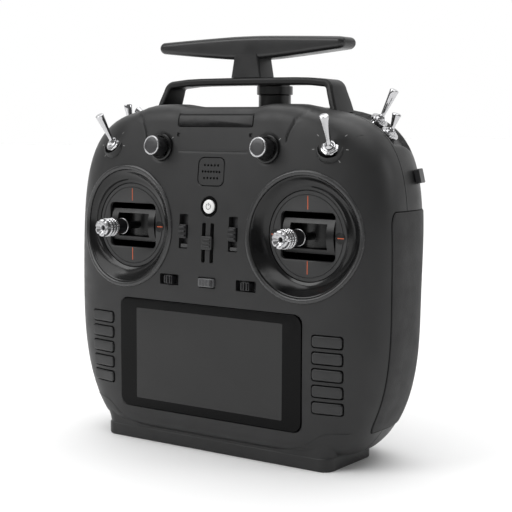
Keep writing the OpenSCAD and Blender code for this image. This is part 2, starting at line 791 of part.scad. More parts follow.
// ---- trims and sliders ----
module trim_up(side) color("#1c1c1e") on_front(side * trim_x, trim_z) {
    slab(trim_slot_w + 2, trim_slot + 6, 1, -flange_top - carriage_t, -flange_top);
    slab(trim_slot_w - 2 * slide_gap, trim_lever, 0.5, -flange_top - 0.5, 1.4);
    slab(trim_slot_w - 1.4, trim_lever - 3.4, 0.5, 1, 2.2);
}

module trim_up_left() trim_up(-1);
module trim_up_right() trim_up(1);

module trim_level(side) color("#1c1c1e") on_front(side * level_x, level_z) {
    slab(level_slot + 2, trim_slot_w + 0.8, 2.8, -flange_top - carriage_t, -flange_top);
    slab(level_lever, trim_slot_w - 2 * slide_gap, 0.5, -flange_top - 0.5, 1.4);
    slab(level_lever - 2.4, trim_slot_w - 1.4, 0.5, 1, 2.2);
}

module trim_level_left() trim_level(-1);
module trim_level_right() trim_level(1);

module centre_slider() color("#3c3d40") on_front(0, centre_z) {
    slab(centre_cap_w, centre_cap_l, 1, 0.4, 2);
    for (i = [-1, 1]) translate([i * centre_leg_x, 0, 0])
        slab(centre_leg_w, centre_leg_l, 0.3, -flange_top - 0.5, 1);
    slab(2 * centre_leg_x + centre_leg_w + 2, 9, 1, -flange_top - carriage_t, -flange_top);
}

module side_slider(side) color("#1a1a1c") at_side_slider(side) {
    slab(side_cap_w, side_cap_l, 0.8, 0.6, 3.2);
    slab(side_stem_w, side_stem_l, 0.4, -wall - 3, 1);
    slab(side_stem_w + 4, side_stem_l + 4, 0.8, -wall - 3.8, -wall - 2.2);
}

module side_slider_left() side_slider(-1);
module side_slider_right() side_slider(1);

// ---- dials ----
module dial_collars() color("#28292b") {
    both_sides() on_front(dial_x, dial_z) tube(dial_r + 2, dial_r + 0.4, 0.15, 1.1);
}

module dial_pots() color("#5c6066") {
    both_sides() on_front(dial_x, dial_z) {
        tube(bush_r + 0.5, 1.6, -wall - 1, 0.4);
        tube(6.4, 1.6, -wall - 6, -wall - 0.5);
    }
}

module dial(side) color("#1b1b1d") on_front(side * dial_x, dial_z) {
    tube(dial_r, dial_r - 1, 0.7, dial_h + 0.6);
    rod(dial_r - 0.5, 0.7, dial_h);
    rod(1.5, -wall - 5, 1);
}

module dial_left() dial(-1);
module dial_right() dial(1);

module dial_cap(side) color("#8b8c8f") on_front(side * dial_x, dial_z) {
    rod(dial_r - 1 - seat_gap, dial_h + run_gap, dial_h + 0.8);
}

module dial_cap_left() dial_cap(-1);
module dial_cap_right() dial_cap(1);

// ---- switches ----
module switch_bush() {
    difference() {
        rod(bush_r, -9, 2);
        rod(ball_r + 0.15, ball_z - ball_r - run_gap, 3);
    }
    translate([-6, -3.5, -16]) cube([12, 7, 8]);
}

module switch_bodies() color("#8a8d92") {
    for (side = [-1, 1]) {
        at_front_switch(side) rotate([0, 0, 90]) switch_bush();
        for (k = [0, 1]) at_rear_switch(side, k) rotate([0, 0, 90]) switch_bush();
    }
}

module switch_nut() {
    difference() {
        translate([0, 0, -0.6]) cylinder(r = nut_r, h = nut_t, $fn = 6);
        rod(bush_r + run_gap, -1, 3);
    }
}

module switch_nuts() color("#b9bbbe") {
    for (side = [-1, 1]) {
        at_front_switch(side) switch_nut();
        for (k = [0, 1]) at_rear_switch(side, k) switch_nut();
    }
}

// A lever standing on its ball, wider towards the tip
module lever(length, tip_r) {
    translate([0, 0, ball_z]) {
        sphere(r = ball_r);
        cylinder(r1 = 1.1, r2 = tip_r, h = length);
    }
}

module lean_over(angle, axis) {
    translate([0, 0, ball_z]) rotate(angle, axis) translate([0, 0, -ball_z]) children();
}

module front_lever(side) color("#c4c6c9") at_front_switch(side)
    lean_over(-switch_swing, [1, 0, 0]) lever(17, 2.3);

module front_lever_left() front_lever(-1);
module front_lever_right() front_lever(1);

module rear_lever(side, kind) color("#c4c6c9") {
    s = rear_levers[side < 0 ? 0 : 1][kind];
    at_rear_switch(side, s[0]) lean_over(s[2], [0, 1, 0]) lever(s[1], 2.4);
}

module rear_long_lever_left() rear_lever(-1, 0);
module rear_long_lever_right() rear_lever(1, 0);
module rear_short_lever_left() rear_lever(-1, 1);
module rear_short_lever_right() rear_lever(1, 1);

// ---- sound, status strip, power, fasteners ----
module speaker_grille() color("#313235") on_front(0, 143.2) difference() {
    slab(16, 14, 3.5, -1.2, 0.05);
    grille_holes(0.45, -2, 1);
}

module speaker() color("#202123") on_front(0, 143.2) {
    rod(7.8, -wall - 2, -wall - 0.3);
    rod(6, -wall - 5, -wall - 1);
}

module status_window() color("#17181a") on_front(0, 168.5) {
    slab(46.4, 5.7, 1.1, -1, 0.05);
}

module battery_cells() color("#3f6fb0") {
    for (j = [-1, 1])
        translate([-cell_len / 2, door_y - door_t - 1.2 - cell_r, door_z + door_h / 2 + j * cell_pitch / 2])
            rotate([0, 90, 0]) cylinder(r = cell_r, h = cell_len);
}

module battery_door() color("#2b2c2f") {
    translate([0, door_y, door_z + door_h / 2]) rotate([-90, 0, 0]) slab(door_w, door_h, 3, -door_t, 0);
}

module module_cover() color("#2b2c2f") {
    translate([0, cover_y, cover_z]) rotate([-90, 0, 0]) difference() {
        slab(cover_w, cover_h, 3, -cover_t, 0);
        for (k = [-3:3]) translate([k * 5, 0, -0.8]) linear_extrude(2) round_rect(2, 24, 0.9);
    }
}

module screws() color("#56585c") {
    both_sides() {
        for (p = screw_places)
            translate([p[0], 0, p[1]]) rotate([-90, 0, 0]) {
                rod(screw_head_r, seam_y + screw_seat + run_gap, seam_y + screw_seat + 2);
                rod(screw_r, seam_y - screw_grip, seam_y + screw_seat + 1);
            }
        for (i = [-1, 1], j = [-1, 1])
            translate([gimbal_x + i * ear_x, 0, stick_z + j * ear_z]) rotate([-90, 0, 0]) {
                rod(2.3, plate_y + plate_t + run_gap, plate_y + plate_t + 1.6);
                rod(pilot_r - run_gap, plate_y - gimbal_screw, plate_y + plate_t + 1);
            }
    }
}

front_shell();
rear_shell();
base_foot();
side_grips();
handle();
antenna_mast();
antenna();
display_glass();
display_panel();
main_board();
keypad_membranes();
gimbal_rings();
gimbal_faces();
gimbal_frames();
yoke_left();
yoke_right();
stick_left();
stick_right();
stick_tip_left();
stick_tip_right();
soft_key(-1, 0);  // key_left_1
soft_key(-1, 1);  // key_left_2
soft_key(-1, 2);  // key_left_3
soft_key(-1, 3);  // key_left_4
soft_key(-1, 4);  // key_left_5
soft_key(1, 0);  // key_right_1
soft_key(1, 1);  // key_right_2
soft_key(1, 2);  // key_right_3
soft_key(1, 3);  // key_right_4
soft_key(1, 4);  // key_right_5
power_button();
menu_button();
trim_up_left();
trim_up_right();
trim_level_left();
trim_level_right();
centre_slider();
side_slider_left();
side_slider_right();
dial_collars();
dial_pots();
dial_left();
dial_right();
dial_cap_left();
dial_cap_right();
switch_bodies();
switch_nuts();
front_lever_left();
front_lever_right();
rear_long_lever_left();
rear_long_lever_right();
rear_short_lever_left();
rear_short_lever_right();
speaker_grille();
speaker();
status_window();
battery_cells();
battery_door();
module_cover();
screws();
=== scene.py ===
"""Handheld radio transmitter: the looks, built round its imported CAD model.

Lengths are millimetres until a mesh is made, and the frame is the CAD model's:
+X to the right seen from the front, -Y out of the front face, +Z up.
"""
import json
import math

import bmesh
import bpy
import numpy as np
from mathutils import Matrix, Vector

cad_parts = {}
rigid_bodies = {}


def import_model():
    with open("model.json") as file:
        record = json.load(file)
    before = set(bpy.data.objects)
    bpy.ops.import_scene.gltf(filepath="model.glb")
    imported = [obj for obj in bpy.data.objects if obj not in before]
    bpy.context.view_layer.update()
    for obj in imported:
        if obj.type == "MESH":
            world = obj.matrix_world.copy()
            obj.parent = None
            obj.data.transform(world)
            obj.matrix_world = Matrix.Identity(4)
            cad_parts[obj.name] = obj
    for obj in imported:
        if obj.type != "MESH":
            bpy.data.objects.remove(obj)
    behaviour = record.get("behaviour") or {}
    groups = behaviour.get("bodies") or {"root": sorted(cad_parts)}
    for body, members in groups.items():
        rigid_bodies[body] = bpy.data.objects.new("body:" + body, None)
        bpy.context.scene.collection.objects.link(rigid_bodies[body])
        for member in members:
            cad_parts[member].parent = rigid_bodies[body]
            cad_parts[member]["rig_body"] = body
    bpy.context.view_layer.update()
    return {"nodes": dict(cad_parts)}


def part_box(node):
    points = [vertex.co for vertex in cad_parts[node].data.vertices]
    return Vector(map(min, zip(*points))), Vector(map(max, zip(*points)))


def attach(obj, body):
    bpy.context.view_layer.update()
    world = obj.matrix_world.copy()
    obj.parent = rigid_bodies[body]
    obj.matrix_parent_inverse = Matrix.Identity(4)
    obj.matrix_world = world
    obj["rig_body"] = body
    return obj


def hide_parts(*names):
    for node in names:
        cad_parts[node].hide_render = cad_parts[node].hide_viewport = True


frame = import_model()

MM = 0.001
SIDES = ((-1, "left"), (1, "right"))

# ---------------------------------------------------------------- body form
SEAM_Y = 4.8
GLASS_Y = -25.2
BODY_W, TOP_Z, BOTTOM_Z, MID_Z = 195.0, 175.5, 7.0, 85.0
FRONT_DEPTH, REAR_DEPTH, SWELL, LEAN, EDGE_R = 30.0, 42.0, 4.5, 8.0, 7.0
SHOULDER_POWER, WAIST_POWER, WAIST_DROP = 4.4, 3.0, 96.0
FRONT_POWER, REAR_POWER, DEPTH_POWER = 6, 3, 3
LEAN_FROM, LEAN_POWER, SWELL_FROM, SWELL_RISE = 80.0, 1.9, 70.0, 60.0
GIMBAL_X, STICK_Z, RING_R, FACE_R = 55.0, 113.5, 32.0, 22.2
FACE_Y, PIVOT_Y = GLASS_Y + 7.7, GLASS_Y + 24.5
KEY_X, KEY_Z, KEY_PITCH, KEY_W, KEY_H, KEYS = 70.4, 32.1, 8.05, 15.6, 5.4, 5
GLASS_W, GLASS_H, GLASS_Z = 113.5, 57.2, 47.25
POWER_Z, LEVEL_Z, TRIM_X, TRIM_Z, LEVEL_X, CENTRE_Z = 125.8, 87.6, 15.5, 112.7, 24.1, 107.6
DIAL_X, DIAL_Z, SWITCH_X, SWITCH_Z = 33.0, 155.0, 67.5, 156.5
GRILLE_Z, STRIP_Z = 143.2, 168.5


def half_w(z):
    """Half-width of the body at height z."""
    z = np.asarray(z, float)
    n = np.where(z >= MID_Z, SHOULDER_POWER, WAIST_POWER)
    h = np.where(z >= MID_Z, TOP_Z - MID_Z + 0.5, WAIST_DROP)
    return BODY_W / 2 * (1 - np.minimum(1, np.abs(z - MID_Z) / h) ** n) ** (1 / n)


def lean(z):
    """How far the upper face leans back at height z."""
    return LEAN * np.maximum(0, (np.asarray(z, float) - LEAN_FROM) / (TOP_Z - LEAN_FROM)) ** LEAN_POWER


def rear_swell(z):
    """How far the rear stands out above the battery door."""
    return SWELL * (1 - np.cos(np.pi * np.clip((np.asarray(z, float) - SWELL_FROM) / SWELL_RISE, 0, 1))) / 2


def edge_in(z):
    """How far the rounded top and bottom edges draw the front and rear back."""
    d = np.maximum(0, np.minimum(z - BOTTOM_Z, TOP_Z - z))
    return np.where(d >= EDGE_R, 0, EDGE_R - np.sqrt(np.maximum(0, d * (2 * EDGE_R - d))))


def oval(u, n, m):
    """1 in the middle, falling to 0 at u = 1, with a flatness set by the two powers."""
    return np.maximum(0, 1 - np.minimum(1, np.abs(u)) ** n) ** (1 / m)


def front_y(x, z):
    return SEAM_Y - (FRONT_DEPTH - lean(z) - edge_in(z)) * oval(x / half_w(z), FRONT_POWER, DEPTH_POWER)


def rear_y(x, z):
    return SEAM_Y + (REAR_DEPTH + rear_swell(z) - edge_in(z)) * oval(x / half_w(z), REAR_POWER, DEPTH_POWER)


def turned(axis, degrees):
    """A turn about one axis."""
    return Matrix.Rotation(math.radians(degrees), 4, axis)


def on_front(x, z):
    """The frame of a piece on the front face: +Z out of the face, +Y up it."""
    across = float(front_y(x + 0.5, z) - front_y(x - 0.5, z))
    upward = float(front_y(x, z + 0.5) - front_y(x, z - 0.5))
    place = Matrix.Translation((x, float(front_y(x, z)), z))
    turn = Matrix.Rotation(math.atan(across), 4, "Z") @ Matrix.Rotation(-math.atan(upward), 4, "X")
    return place @ turn @ turned("X", 90)


SWITCH_TURN, SWITCH_PITCH, SWITCH_SINK, BALL_LIFT = 12, 56, 0.8, 1.2


def at_front_switch(side):
    """+Z along the bush and out of the case, +Y up."""
    place = Matrix.Translation((side * SWITCH_X, float(front_y(SWITCH_X, SWITCH_Z)), SWITCH_Z))
    aim = turned("Z", side * SWITCH_TURN) @ turned("X", SWITCH_PITCH)
    return place @ aim @ Matrix.Translation((0, 0, -SWITCH_SINK))


# Rear switch places: x, depth behind the seam, height and tilt
INNER, OUTER = (73.5, 14, 169.5, 45), (82, 9, 163.2, 40)
# Rear levers: side, place, length and lean
REAR_LEVERS = {"rear_long_lever_left": (-1, OUTER, 14, 30), "rear_short_lever_left": (-1, INNER, 9.5, -17),
               "rear_long_lever_right": (1, INNER, 16, -17), "rear_short_lever_right": (1, OUTER, 9.5, -20)}


def at_rear_switch(side, switch):
    """+Z along the bush and out of the shoulder."""
    x, y, z, tilt = switch
    place = Matrix.Translation((side * x, SEAM_Y + y, z))
    return place @ turned("Y", side * tilt) @ Matrix.Translation((0, 0, -SWITCH_SINK))


# ---------------------------------------------------------------- materials
def surface(name, colour, rough, metal=0.0, grain=0.0, grain_size=0.35, mottle=0.12, wear=0.0, specular=0.5):
    """A moulded, painted or plated surface: mottled colour, uneven gloss, grain and edge wear."""
    mat = bpy.data.materials.new(name)
    mat.use_nodes = True
    nodes, links = mat.node_tree.nodes, mat.node_tree.links
    shader = nodes["Principled BSDF"]
    shader.inputs["Metallic"].default_value = metal
    shader.inputs["Specular IOR Level"].default_value = specular
    place = nodes.new("ShaderNodeTexCoord").outputs["Object"]

    def noise(size_mm, detail=3):
        n = nodes.new("ShaderNodeTexNoise")
        n.inputs["Scale"].default_value = 1 / (size_mm * MM)
        n.inputs["Detail"].default_value = detail
        links.new(place, n.inputs["Vector"])
        return n.outputs["Fac"]

    def spread(value, low, high, start=0.3, end=0.7):
        n = nodes.new("ShaderNodeMapRange")
        n.inputs["From Min"].default_value = start
        n.inputs["From Max"].default_value = end
        n.inputs["To Min"].default_value = low
        n.inputs["To Max"].default_value = high
        links.new(value, n.inputs["Value"])
        return n.outputs["Result"]

    mix = nodes.new("ShaderNodeMix")
    mix.data_type = "RGBA"
    mix.inputs["A"].default_value = (*[c * (1 - mottle) for c in colour], 1)
    mix.inputs["B"].default_value = (*[c * (1 + mottle) for c in colour], 1)
    links.new(spread(noise(28, 4), 0, 1), mix.inputs["Factor"])
    out = mix.outputs["Result"]
    if wear:
        edge = nodes.new("ShaderNodeNewGeometry").outputs["Pointiness"]
        worn = nodes.new("ShaderNodeMix")
        worn.data_type = "RGBA"
        worn.inputs["B"].default_value = (*[min(1, c * 2.2 + 0.012) for c in colour], 1)
        links.new(out, worn.inputs["A"])
        links.new(spread(edge, 0, wear, 0.52, 0.62), worn.inputs["Factor"])
        out = worn.outputs["Result"]
    links.new(out, shader.inputs["Base Color"])
    links.new(spread(noise(9, 5), max(0.02, rough - 0.06), rough + 0.06), shader.inputs["Roughness"])
    if grain:
        bump = nodes.new("ShaderNodeBump")
        bump.inputs["Strength"].default_value = grain
        bump.inputs["Distance"].default_value = 0.1 * MM
        links.new(noise(grain_size, 2), bump.inputs["Height"])
        links.new(bump.outputs["Normal"], shader.inputs["Normal"])
    return mat


SHELL = surface("soft_touch_shell", (0.015, 0.0151, 0.0154), 0.45, grain=0.18, grain_size=0.3, wear=0.25,
                specular=0.4)
HANDLE = surface("satin_handle", (0.006, 0.0061, 0.0063), 0.4, specular=0.35, grain=0.12, wear=0.3)
AERIAL = surface("satin_antenna", (0.009, 0.0091, 0.0094), 0.34, grain=0.12, wear=0.25)
FOOT = surface("matte_foot", (0.009, 0.0091, 0.0094), 0.5, grain=0.2, wear=0.2)
GRIP = surface("grip_rubber", (0.010, 0.010, 0.0104), 0.66, grain=0.9, grain_size=0.75, mottle=0.2)
GLASS = surface("cover_glass", (0.002, 0.002, 0.0021), 0.1, mottle=0.05, specular=0.1)
SCREEN = surface("screen_area", (0.042, 0.042, 0.042), 0.2, mottle=0.03, specular=0.1)
PANEL = surface("display_panel", (0.05, 0.05, 0.052), 0.3, mottle=0.05)
BOARD = surface("circuit_board", (0.01, 0.09, 0.04), 0.35, mottle=0.25)
LIP = surface("ring_lip_satin", (0.030, 0.0302, 0.0306), 0.26, grain=0.05, mottle=0.05)
RING = surface("ring_gloss_black", (0.004, 0.004, 0.0042), 0.2, mottle=0.05, specular=0.4)
FACE = surface("face_plate", (0.022, 0.0222, 0.0226), 0.45, grain=0.35, grain_size=0.25)
MECHANISM = surface("mechanism_plastic", (0.003, 0.003, 0.0031), 0.3, grain=0.08, specular=0.4)
YOKE = surface("yoke_plastic", (0.007, 0.0071, 0.0073), 0.32, grain=0.1, specular=0.4)
SILVER = surface("machined_aluminium", (0.5, 0.5, 0.51), 0.28, metal=1.0, grain=0.05, grain_size=0.2)
SLEEVE = surface("anodised_sleeve", (0.02, 0.02, 0.022), 0.35, metal=0.6, grain=0.1)
KEY = surface("key_soft_touch", (0.014, 0.0142, 0.0146), 0.44, grain=0.15, wear=0.25)
WHITE = surface("white_button", (0.80, 0.80, 0.79), 0.3, mottle=0.02)
GREY = surface("grey_button", (0.11, 0.111, 0.114), 0.4, grain=0.2)
SLIDER = surface("slider_black", (0.008, 0.008, 0.009), 0.38, grain=0.15, wear=0.3)
DIAL = surface("dial_black", (0.008, 0.008, 0.0085), 0.34, grain=0.1, wear=0.3)
CAP = surface("dial_cap_grey", (0.05, 0.05, 0.052), 0.35, metal=0.4, grain=0.2)
STEEL = surface("plated_steel", (0.40, 0.41, 0.43), 0.3, metal=1.0)
CHROME = surface("chrome", (0.52, 0.52, 0.53), 0.13, metal=1.0, mottle=0.04)
STRIP = surface("status_window", (0.004, 0.004, 0.0042), 0.2, mottle=0.03, specular=0.25)
CELL = surface("cell_sleeve", (0.03, 0.11, 0.32), 0.3)
ORANGE = surface("orange_mark", (0.55, 0.10, 0.03), 0.5, mottle=0.1)
PRINT = surface("pale_print", (0.30, 0.30, 0.30), 0.6, mottle=0.1)
# Near-black with almost no reflection: in the switch seats and round the grip pads it is painted shade.
BLACK_AND_SHADE = surface("deep_black_and_painted_shade", (0.002, 0.002, 0.0021), 0.6, specular=0.05)
PATCH = surface("slider_track_grey", (0.045, 0.045, 0.046), 0.5, grain=0.2)


# ---------------------------------------------------------------- mesh tools
def piece(name, verts, faces, body, slot, material, replaces=(), angle=35, place=None):
    """A new piece from points in millimetres, riding on a body."""
    place = place or Matrix.Identity(4)
    bm = bmesh.new()
    made = [bm.verts.new(place @ Vector(v) * MM) for v in verts]
    for f in faces:
        if len(set(f)) > 2:
            bm.faces.new([made[i] for i in f])
    bmesh.ops.remove_doubles(bm, verts=bm.verts, dist=1e-7)
    bmesh.ops.dissolve_degenerate(bm, edges=bm.edges, dist=1e-7)
    bmesh.ops.recalc_face_normals(bm, faces=bm.faces)
    return finish_mesh(name, bm, body, material, replaces, angle)


def finish_mesh(name, bm, body, material, replaces, angle):
    """Make an object of a mesh under way, shaded smooth below the given angle."""
    mesh = bpy.data.meshes.new(name)
    bm.to_mesh(mesh)
    bm.free()
    for p in mesh.polygons:
        p.use_smooth = True
    mesh.set_sharp_from_angle(angle=math.radians(angle))
    mesh.materials.append(material)
    obj = bpy.data.objects.new(name, mesh)
    bpy.context.scene.collection.objects.link(obj)
    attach(obj, body)
    if replaces:
        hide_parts(*replaces)
    return obj


def bevelled(node, width, material, segments=3):
    """A CAD node's own shape with its edges rounded."""
    source = frame["nodes"][node]
    bm = bmesh.new()
    bm.from_mesh(source.data)
    bmesh.ops.remove_doubles(bm, verts=bm.verts, dist=1e-6)
    bmesh.ops.dissolve_limit(bm, angle_limit=math.radians(1), verts=bm.verts, edges=bm.edges)
    bm.normal_update()
    edges = [e for e in bm.edges if e.is_manifold and e.calc_face_angle(0) > math.radians(28)]
    bmesh.ops.bevel(bm, geom=edges, offset=width * MM, segments=segments, profile=0.5,
                    affect="EDGES", clamp_overlap=True)
    obj = finish_mesh(node + "_look", bm, source["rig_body"], material, (node,), 30)
    keep_flat = obj.modifiers.new("flat_faces", "WEIGHTED_NORMAL")
    keep_flat.keep_sharp = True
    return obj


def rect_outline(w, h, r, n=6):
    """A rounded rectangle as points, counter-clockwise."""
    r = max(0.02, min(r, w / 2 - 0.01, h / 2 - 0.01))
    points = []
    for sx, sy, start in ((1, 1, 0), (-1, 1, 90), (-1, -1, 180), (1, -1, 270)):
        for k in range(n + 1):
            a = math.radians(start + 90 * k / n)
            points.append((sx * (w / 2 - r) + r * math.cos(a), sy * (h / 2 - r) + r * math.sin(a)))
    return points


def box_gap(x, y, w, h, r):
    """Signed distance from a rounded rectangle round the origin."""
    qx, qy = np.abs(x) - w / 2 + r, np.abs(y) - h / 2 + r
    return np.hypot(np.maximum(qx, 0), np.maximum(qy, 0)) + np.minimum(np.maximum(qx, qy), 0) - r


def edge_reach(angle, w, h, r):
    """How far a ray from the middle goes to the edge of a rounded rectangle."""
    near, far = 0.0, math.hypot(w / 2, h / 2)
    for _ in range(30):
        mid = (near + far) / 2
        inside = box_gap(mid * math.cos(angle), mid * math.sin(angle), w, h, r) < 0
        near, far = (mid, far) if inside else (near, mid)
    return near


def stack(loops, caps=True):
    """Faces between loops of equal length, in order, with flat ends."""
    n = len(loops[0])
    verts = [p for loop in loops for p in loop]
    faces = [(i * n + j, i * n + (j + 1) % n, (i + 1) * n + (j + 1) % n, (i + 1) * n + j)
             for i in range(len(loops) - 1) for j in range(n)]
    if caps:
        faces += [tuple(reversed(range(n))), tuple(range((len(loops) - 1) * n, len(loops) * n))]
    return verts, faces


def slab(w, h, r, low, high, edge=0.4, crown=0.0, n=6):
    """A rounded plate whose top edge is rounded and whose top may be crowned."""
    loops = [[(x, y, low) for x, y in rect_outline(w, h, r, n)]]
    steps = 5
    for k in range(steps + 1):
        a = math.radians(90 * k / steps)
        inset, z = edge * (1 - math.cos(a)), high - edge * (1 - math.sin(a))
        loops.append([(x, y, z) for x, y in rect_outline(w - 2 * inset, h - 2 * inset, r - inset * 0.5, n)])
    if crown:
        for k in (0.75, 0.45, 0.15):
            scaled = rect_outline((w - 2 * edge) * k, (h - 2 * edge) * k, (r - edge * 0.5) * k, n)
            loops.append([(x, y, high + crown * (1 - k * k)) for x, y in scaled])
    return stack(loops)


def lathe(profile, steps=64, wave=None):
    """A turned form from (radius, height) points; wave(angle, height) multiplies the radius."""
    loops = []
    for r, z in profile:
        loop = []
        for k in range(steps):
            a = 2 * math.pi * k / steps
            rr = max(r, 0.001) * (wave(a, z) if wave else 1)
            loop.append((rr * math.cos(a), rr * math.sin(a), z))
        loops.append(loop)
    return stack(loops)


def joined(*parts):
    """Several (verts, faces) as one."""
    verts, faces = [], []
    for v, f in parts:
        base = len(verts)
        verts += list(v)
        faces += [tuple(i + base for i in face) for face in f]
    return verts, faces


def moved(part, place):
    """One (verts, faces) in another frame."""
    verts, faces = part
    return [tuple(place @ Vector(v)) for v in verts], faces


# ---------------------------------------------------------------- shells
def rect_gap(x, z, place, w, h, r):
    """Signed distance from a rounded rectangle on the front face, along the face."""
    inv = np.array(place.inverted())
    pts = np.stack([x, front_y(x, z), z, np.ones_like(x)])
    local = np.tensordot(inv, pts, 1)
    return box_gap(local[0], local[1], w, h, r)


def ease(t):
    """A smooth step from 0 to 1."""
    t = np.clip(t, 0, 1)
    return t * t * (3 - 2 * t)


def cut(gap, depth, edge=0.3):
    """Depth of a recess: full inside, with a small rounded lip outside."""
    return depth * ease(1 - gap / edge)


def groove(gap, depth, width=0.55):
    """Depth of a soft-edged line."""
    return depth * np.exp(-(gap / (width / 2)) ** 2)


TRIM_SLOT, LEVEL_SLOT, CENTRE_SLOT, SLOT_DEPTH = (5, 17), (11.6, 5), (1.7, 19.5), 3.4
CENTRE_SLOT_X, BUTTON_DEPTH, KEY_GAP, GLASS_GAP = 2.6, 2.6, 0.6, 0.3
MENU_HOLE, GRILLE_BED, STRIP_BED = (10.2, 4.9), (16.2, 14.2), (46.6, 5.9)
PANEL_LINE_X, PANEL_LINE_Z = 21.6, 153.3
ARC_X, ARC_Z, ARC_R = 63.0, 155.5, 20.0

# Recesses of the front face: x, z, width, height, corner and depth
SQUARE_CUTS = [(TRIM_X, TRIM_Z, *TRIM_SLOT, 0.6, SLOT_DEPTH),
               (LEVEL_X, LEVEL_Z, *LEVEL_SLOT, 0.6, SLOT_DEPTH),
               (CENTRE_SLOT_X, CENTRE_Z, *CENTRE_SLOT, 0.5, SLOT_DEPTH),
               (0, LEVEL_Z, *MENU_HOLE, 0.8, BUTTON_DEPTH), (0, GRILLE_Z, *GRILLE_BED, 3.6, 1.1),
               (0, STRIP_Z, *STRIP_BED, 1.2, 1.0)]
SQUARE_CUTS += [(KEY_X, KEY_Z + k * KEY_PITCH, KEY_W + KEY_GAP, KEY_H + KEY_GAP, 1.7, BUTTON_DEPTH)
                for k in range(KEYS)]
# Round ones: x, z, radius and depth
ROUND_CUTS = ((0, POWER_Z, 4.9, 0.6), (0, POWER_Z, 3.8, BUTTON_DEPTH), (22.6, 161.4, 0.75, 0.9))


def front_recess(x, z):
    """How deep the front face is cut at each point."""
    ax = np.abs(x)
    glass = Matrix.Translation((0, GLASS_Y, GLASS_Z)) @ turned("X", 90)
    depths = [cut(rect_gap(ax, z, glass, GLASS_W + GLASS_GAP, GLASS_H + GLASS_GAP, 5), 1.3)]
    depths += [cut(rect_gap(ax, z, on_front(cx, cz), w, h, corner), deep)
               for cx, cz, w, h, corner, deep in SQUARE_CUTS]
    depths += [cut(rect_gap(ax, z, on_front(cx, cz), 2 * r, 2 * r, r), deep)
               for cx, cz, r, deep in ROUND_CUTS]
    depths.append(cut(np.hypot(ax - DIAL_X, z - DIAL_Z) - 7.3, 0.35, 0.5))
    depths.append(np.where(ax < PANEL_LINE_X, groove(z - PANEL_LINE_Z, 0.35), 0))
    on_arc = (ax > 43.5) & (ax < 60) & (z > 158)
    depths.append(np.where(on_arc, groove(np.hypot(ax - ARC_X, z - ARC_Z) - ARC_R, 0.7, 0.7), 0))
    return np.max(depths, axis=0)


def graded(low, high, step, marks):
    """Grid lines from low to high, with extra ones at the marks."""
    count = int(round((high - low) / step))
    lines = [low + (high - low) * k / count for k in range(count + 1)]
    extra = sorted(m for m in marks if low < m < high)
    lines = [v for v in lines if all(abs(v - m) > 0.09 for m in extra)]
    kept = []
    for m in extra:
        if not kept or m - kept[-1] > 0.045:
            kept.append(m)
    return sorted(lines + kept)


LIPS = (0.0, 0.1, 0.2, 0.3)
FLAT_X = 80.0


def edges_of(centre, size):
    """Grid lines at both sides of a recess: the wall's foot and its lip."""
    return [centre + s * (size / 2 + e) for s in (-1, 1) for e in LIPS]


def lines_round(at, w, h):
    """Grid lines, across and up, round a rectangle that lies on the sloping face."""
    xs = [(at @ Vector((s * (w / 2 + e), 0, 0))).x for s in (-1, 1) for e in LIPS]
    zs = [(at @ Vector((0, s * (h / 2 + e), 0))).z for s in (-1, 1) for e in LIPS]
    return xs, zs


def column_x(columns, z, side_columns):
    """The x of each column at height z: even across the face, crowded round the side."""
    w = float(half_w(z))
    flat = min(FLAT_X, 0.93 * w)
    inner = [c for c in columns if c <= flat]
    rest = len(columns) + side_columns - len(inner)
    bend = [flat + (w - flat) * (1 - (1 - (k + 1) / rest) ** 2.3) for k in range(rest)]
    return np.array(inner + bend)


def half_skin(side, columns, rows, side_columns, recess):
    """One shell's outer skin as a grid, closed over its top and bottom to the parting plane.

    side is -1 for the front shell and 1 for the rear one.
    """
    seam_gap, fold_in = 0.22, 0.7
    form = front_y if side < 0 else rear_y
    grid = []
    for z in rows:
        x = column_x(columns, z, side_columns)
        x = np.concatenate([-x[::-1], x[1:]])
        zz = np.full_like(x, z)
        y = form(x, zz) - side * recess(x, zz)
        y = np.maximum(y, SEAM_Y + seam_gap) if side > 0 else np.minimum(y, SEAM_Y - seam_gap)
        grid.append(np.stack([x, y, zz], 1))

    def cap(row, z):
        out = []
        for k in range(1, 9):
            t = k / 8
            y = row[:, 1] + (SEAM_Y + side * seam_gap - row[:, 1]) * t
            out.append(np.stack([row[:, 0], y, np.full(len(row), z)], 1))
        return out

    low, high = cap(grid[0], rows[0]), cap(grid[-1], rows[-1])
    grid = low[::-1] + grid + high
    fold = []
    for row in grid:
        rim = row[[0, -1]].copy()
        rim[:, 0] *= 1 - fold_in / np.maximum(1, np.abs(rim[:, 0]))
        fold.append(np.vstack([rim[:1], row, rim[1:]]))
    return np.array(fold)


def grid_faces(rows, cols, keep=None):
    """Faces of a grid of points, all or only the kept ones."""
    return [(i * cols + j, i * cols + j + 1, (i + 1) * cols + j + 1, (i + 1) * cols + j)
            for i in range(rows - 1) for j in range(cols - 1) if keep is None or keep[i, j]]


def skin_rows(step, marks):
    """Heights of a shell's grid lines, crowded round its rounded top and bottom edges."""
    ends = [EDGE_R * (1 - math.sin(math.radians(a))) for a in (90, 78, 66, 54, 42, 30, 18, 8)]
    straight = graded(BOTTOM_Z + EDGE_R + 0.5, TOP_Z - EDGE_R - 0.5, step, marks)
    return [BOTTOM_Z + e for e in ends] + straight + [TOP_Z - e for e in reversed(ends)]


def top_hump(x, y):
    """Two low swellings on the top edge, in front of the handle's feet."""
    ax = np.abs(x)
    across = ease((ax - 19) / 12) * ease((58 - ax) / 14)
    return 1.5 * across * ease((SEAM_Y + 6 - y) / 12)


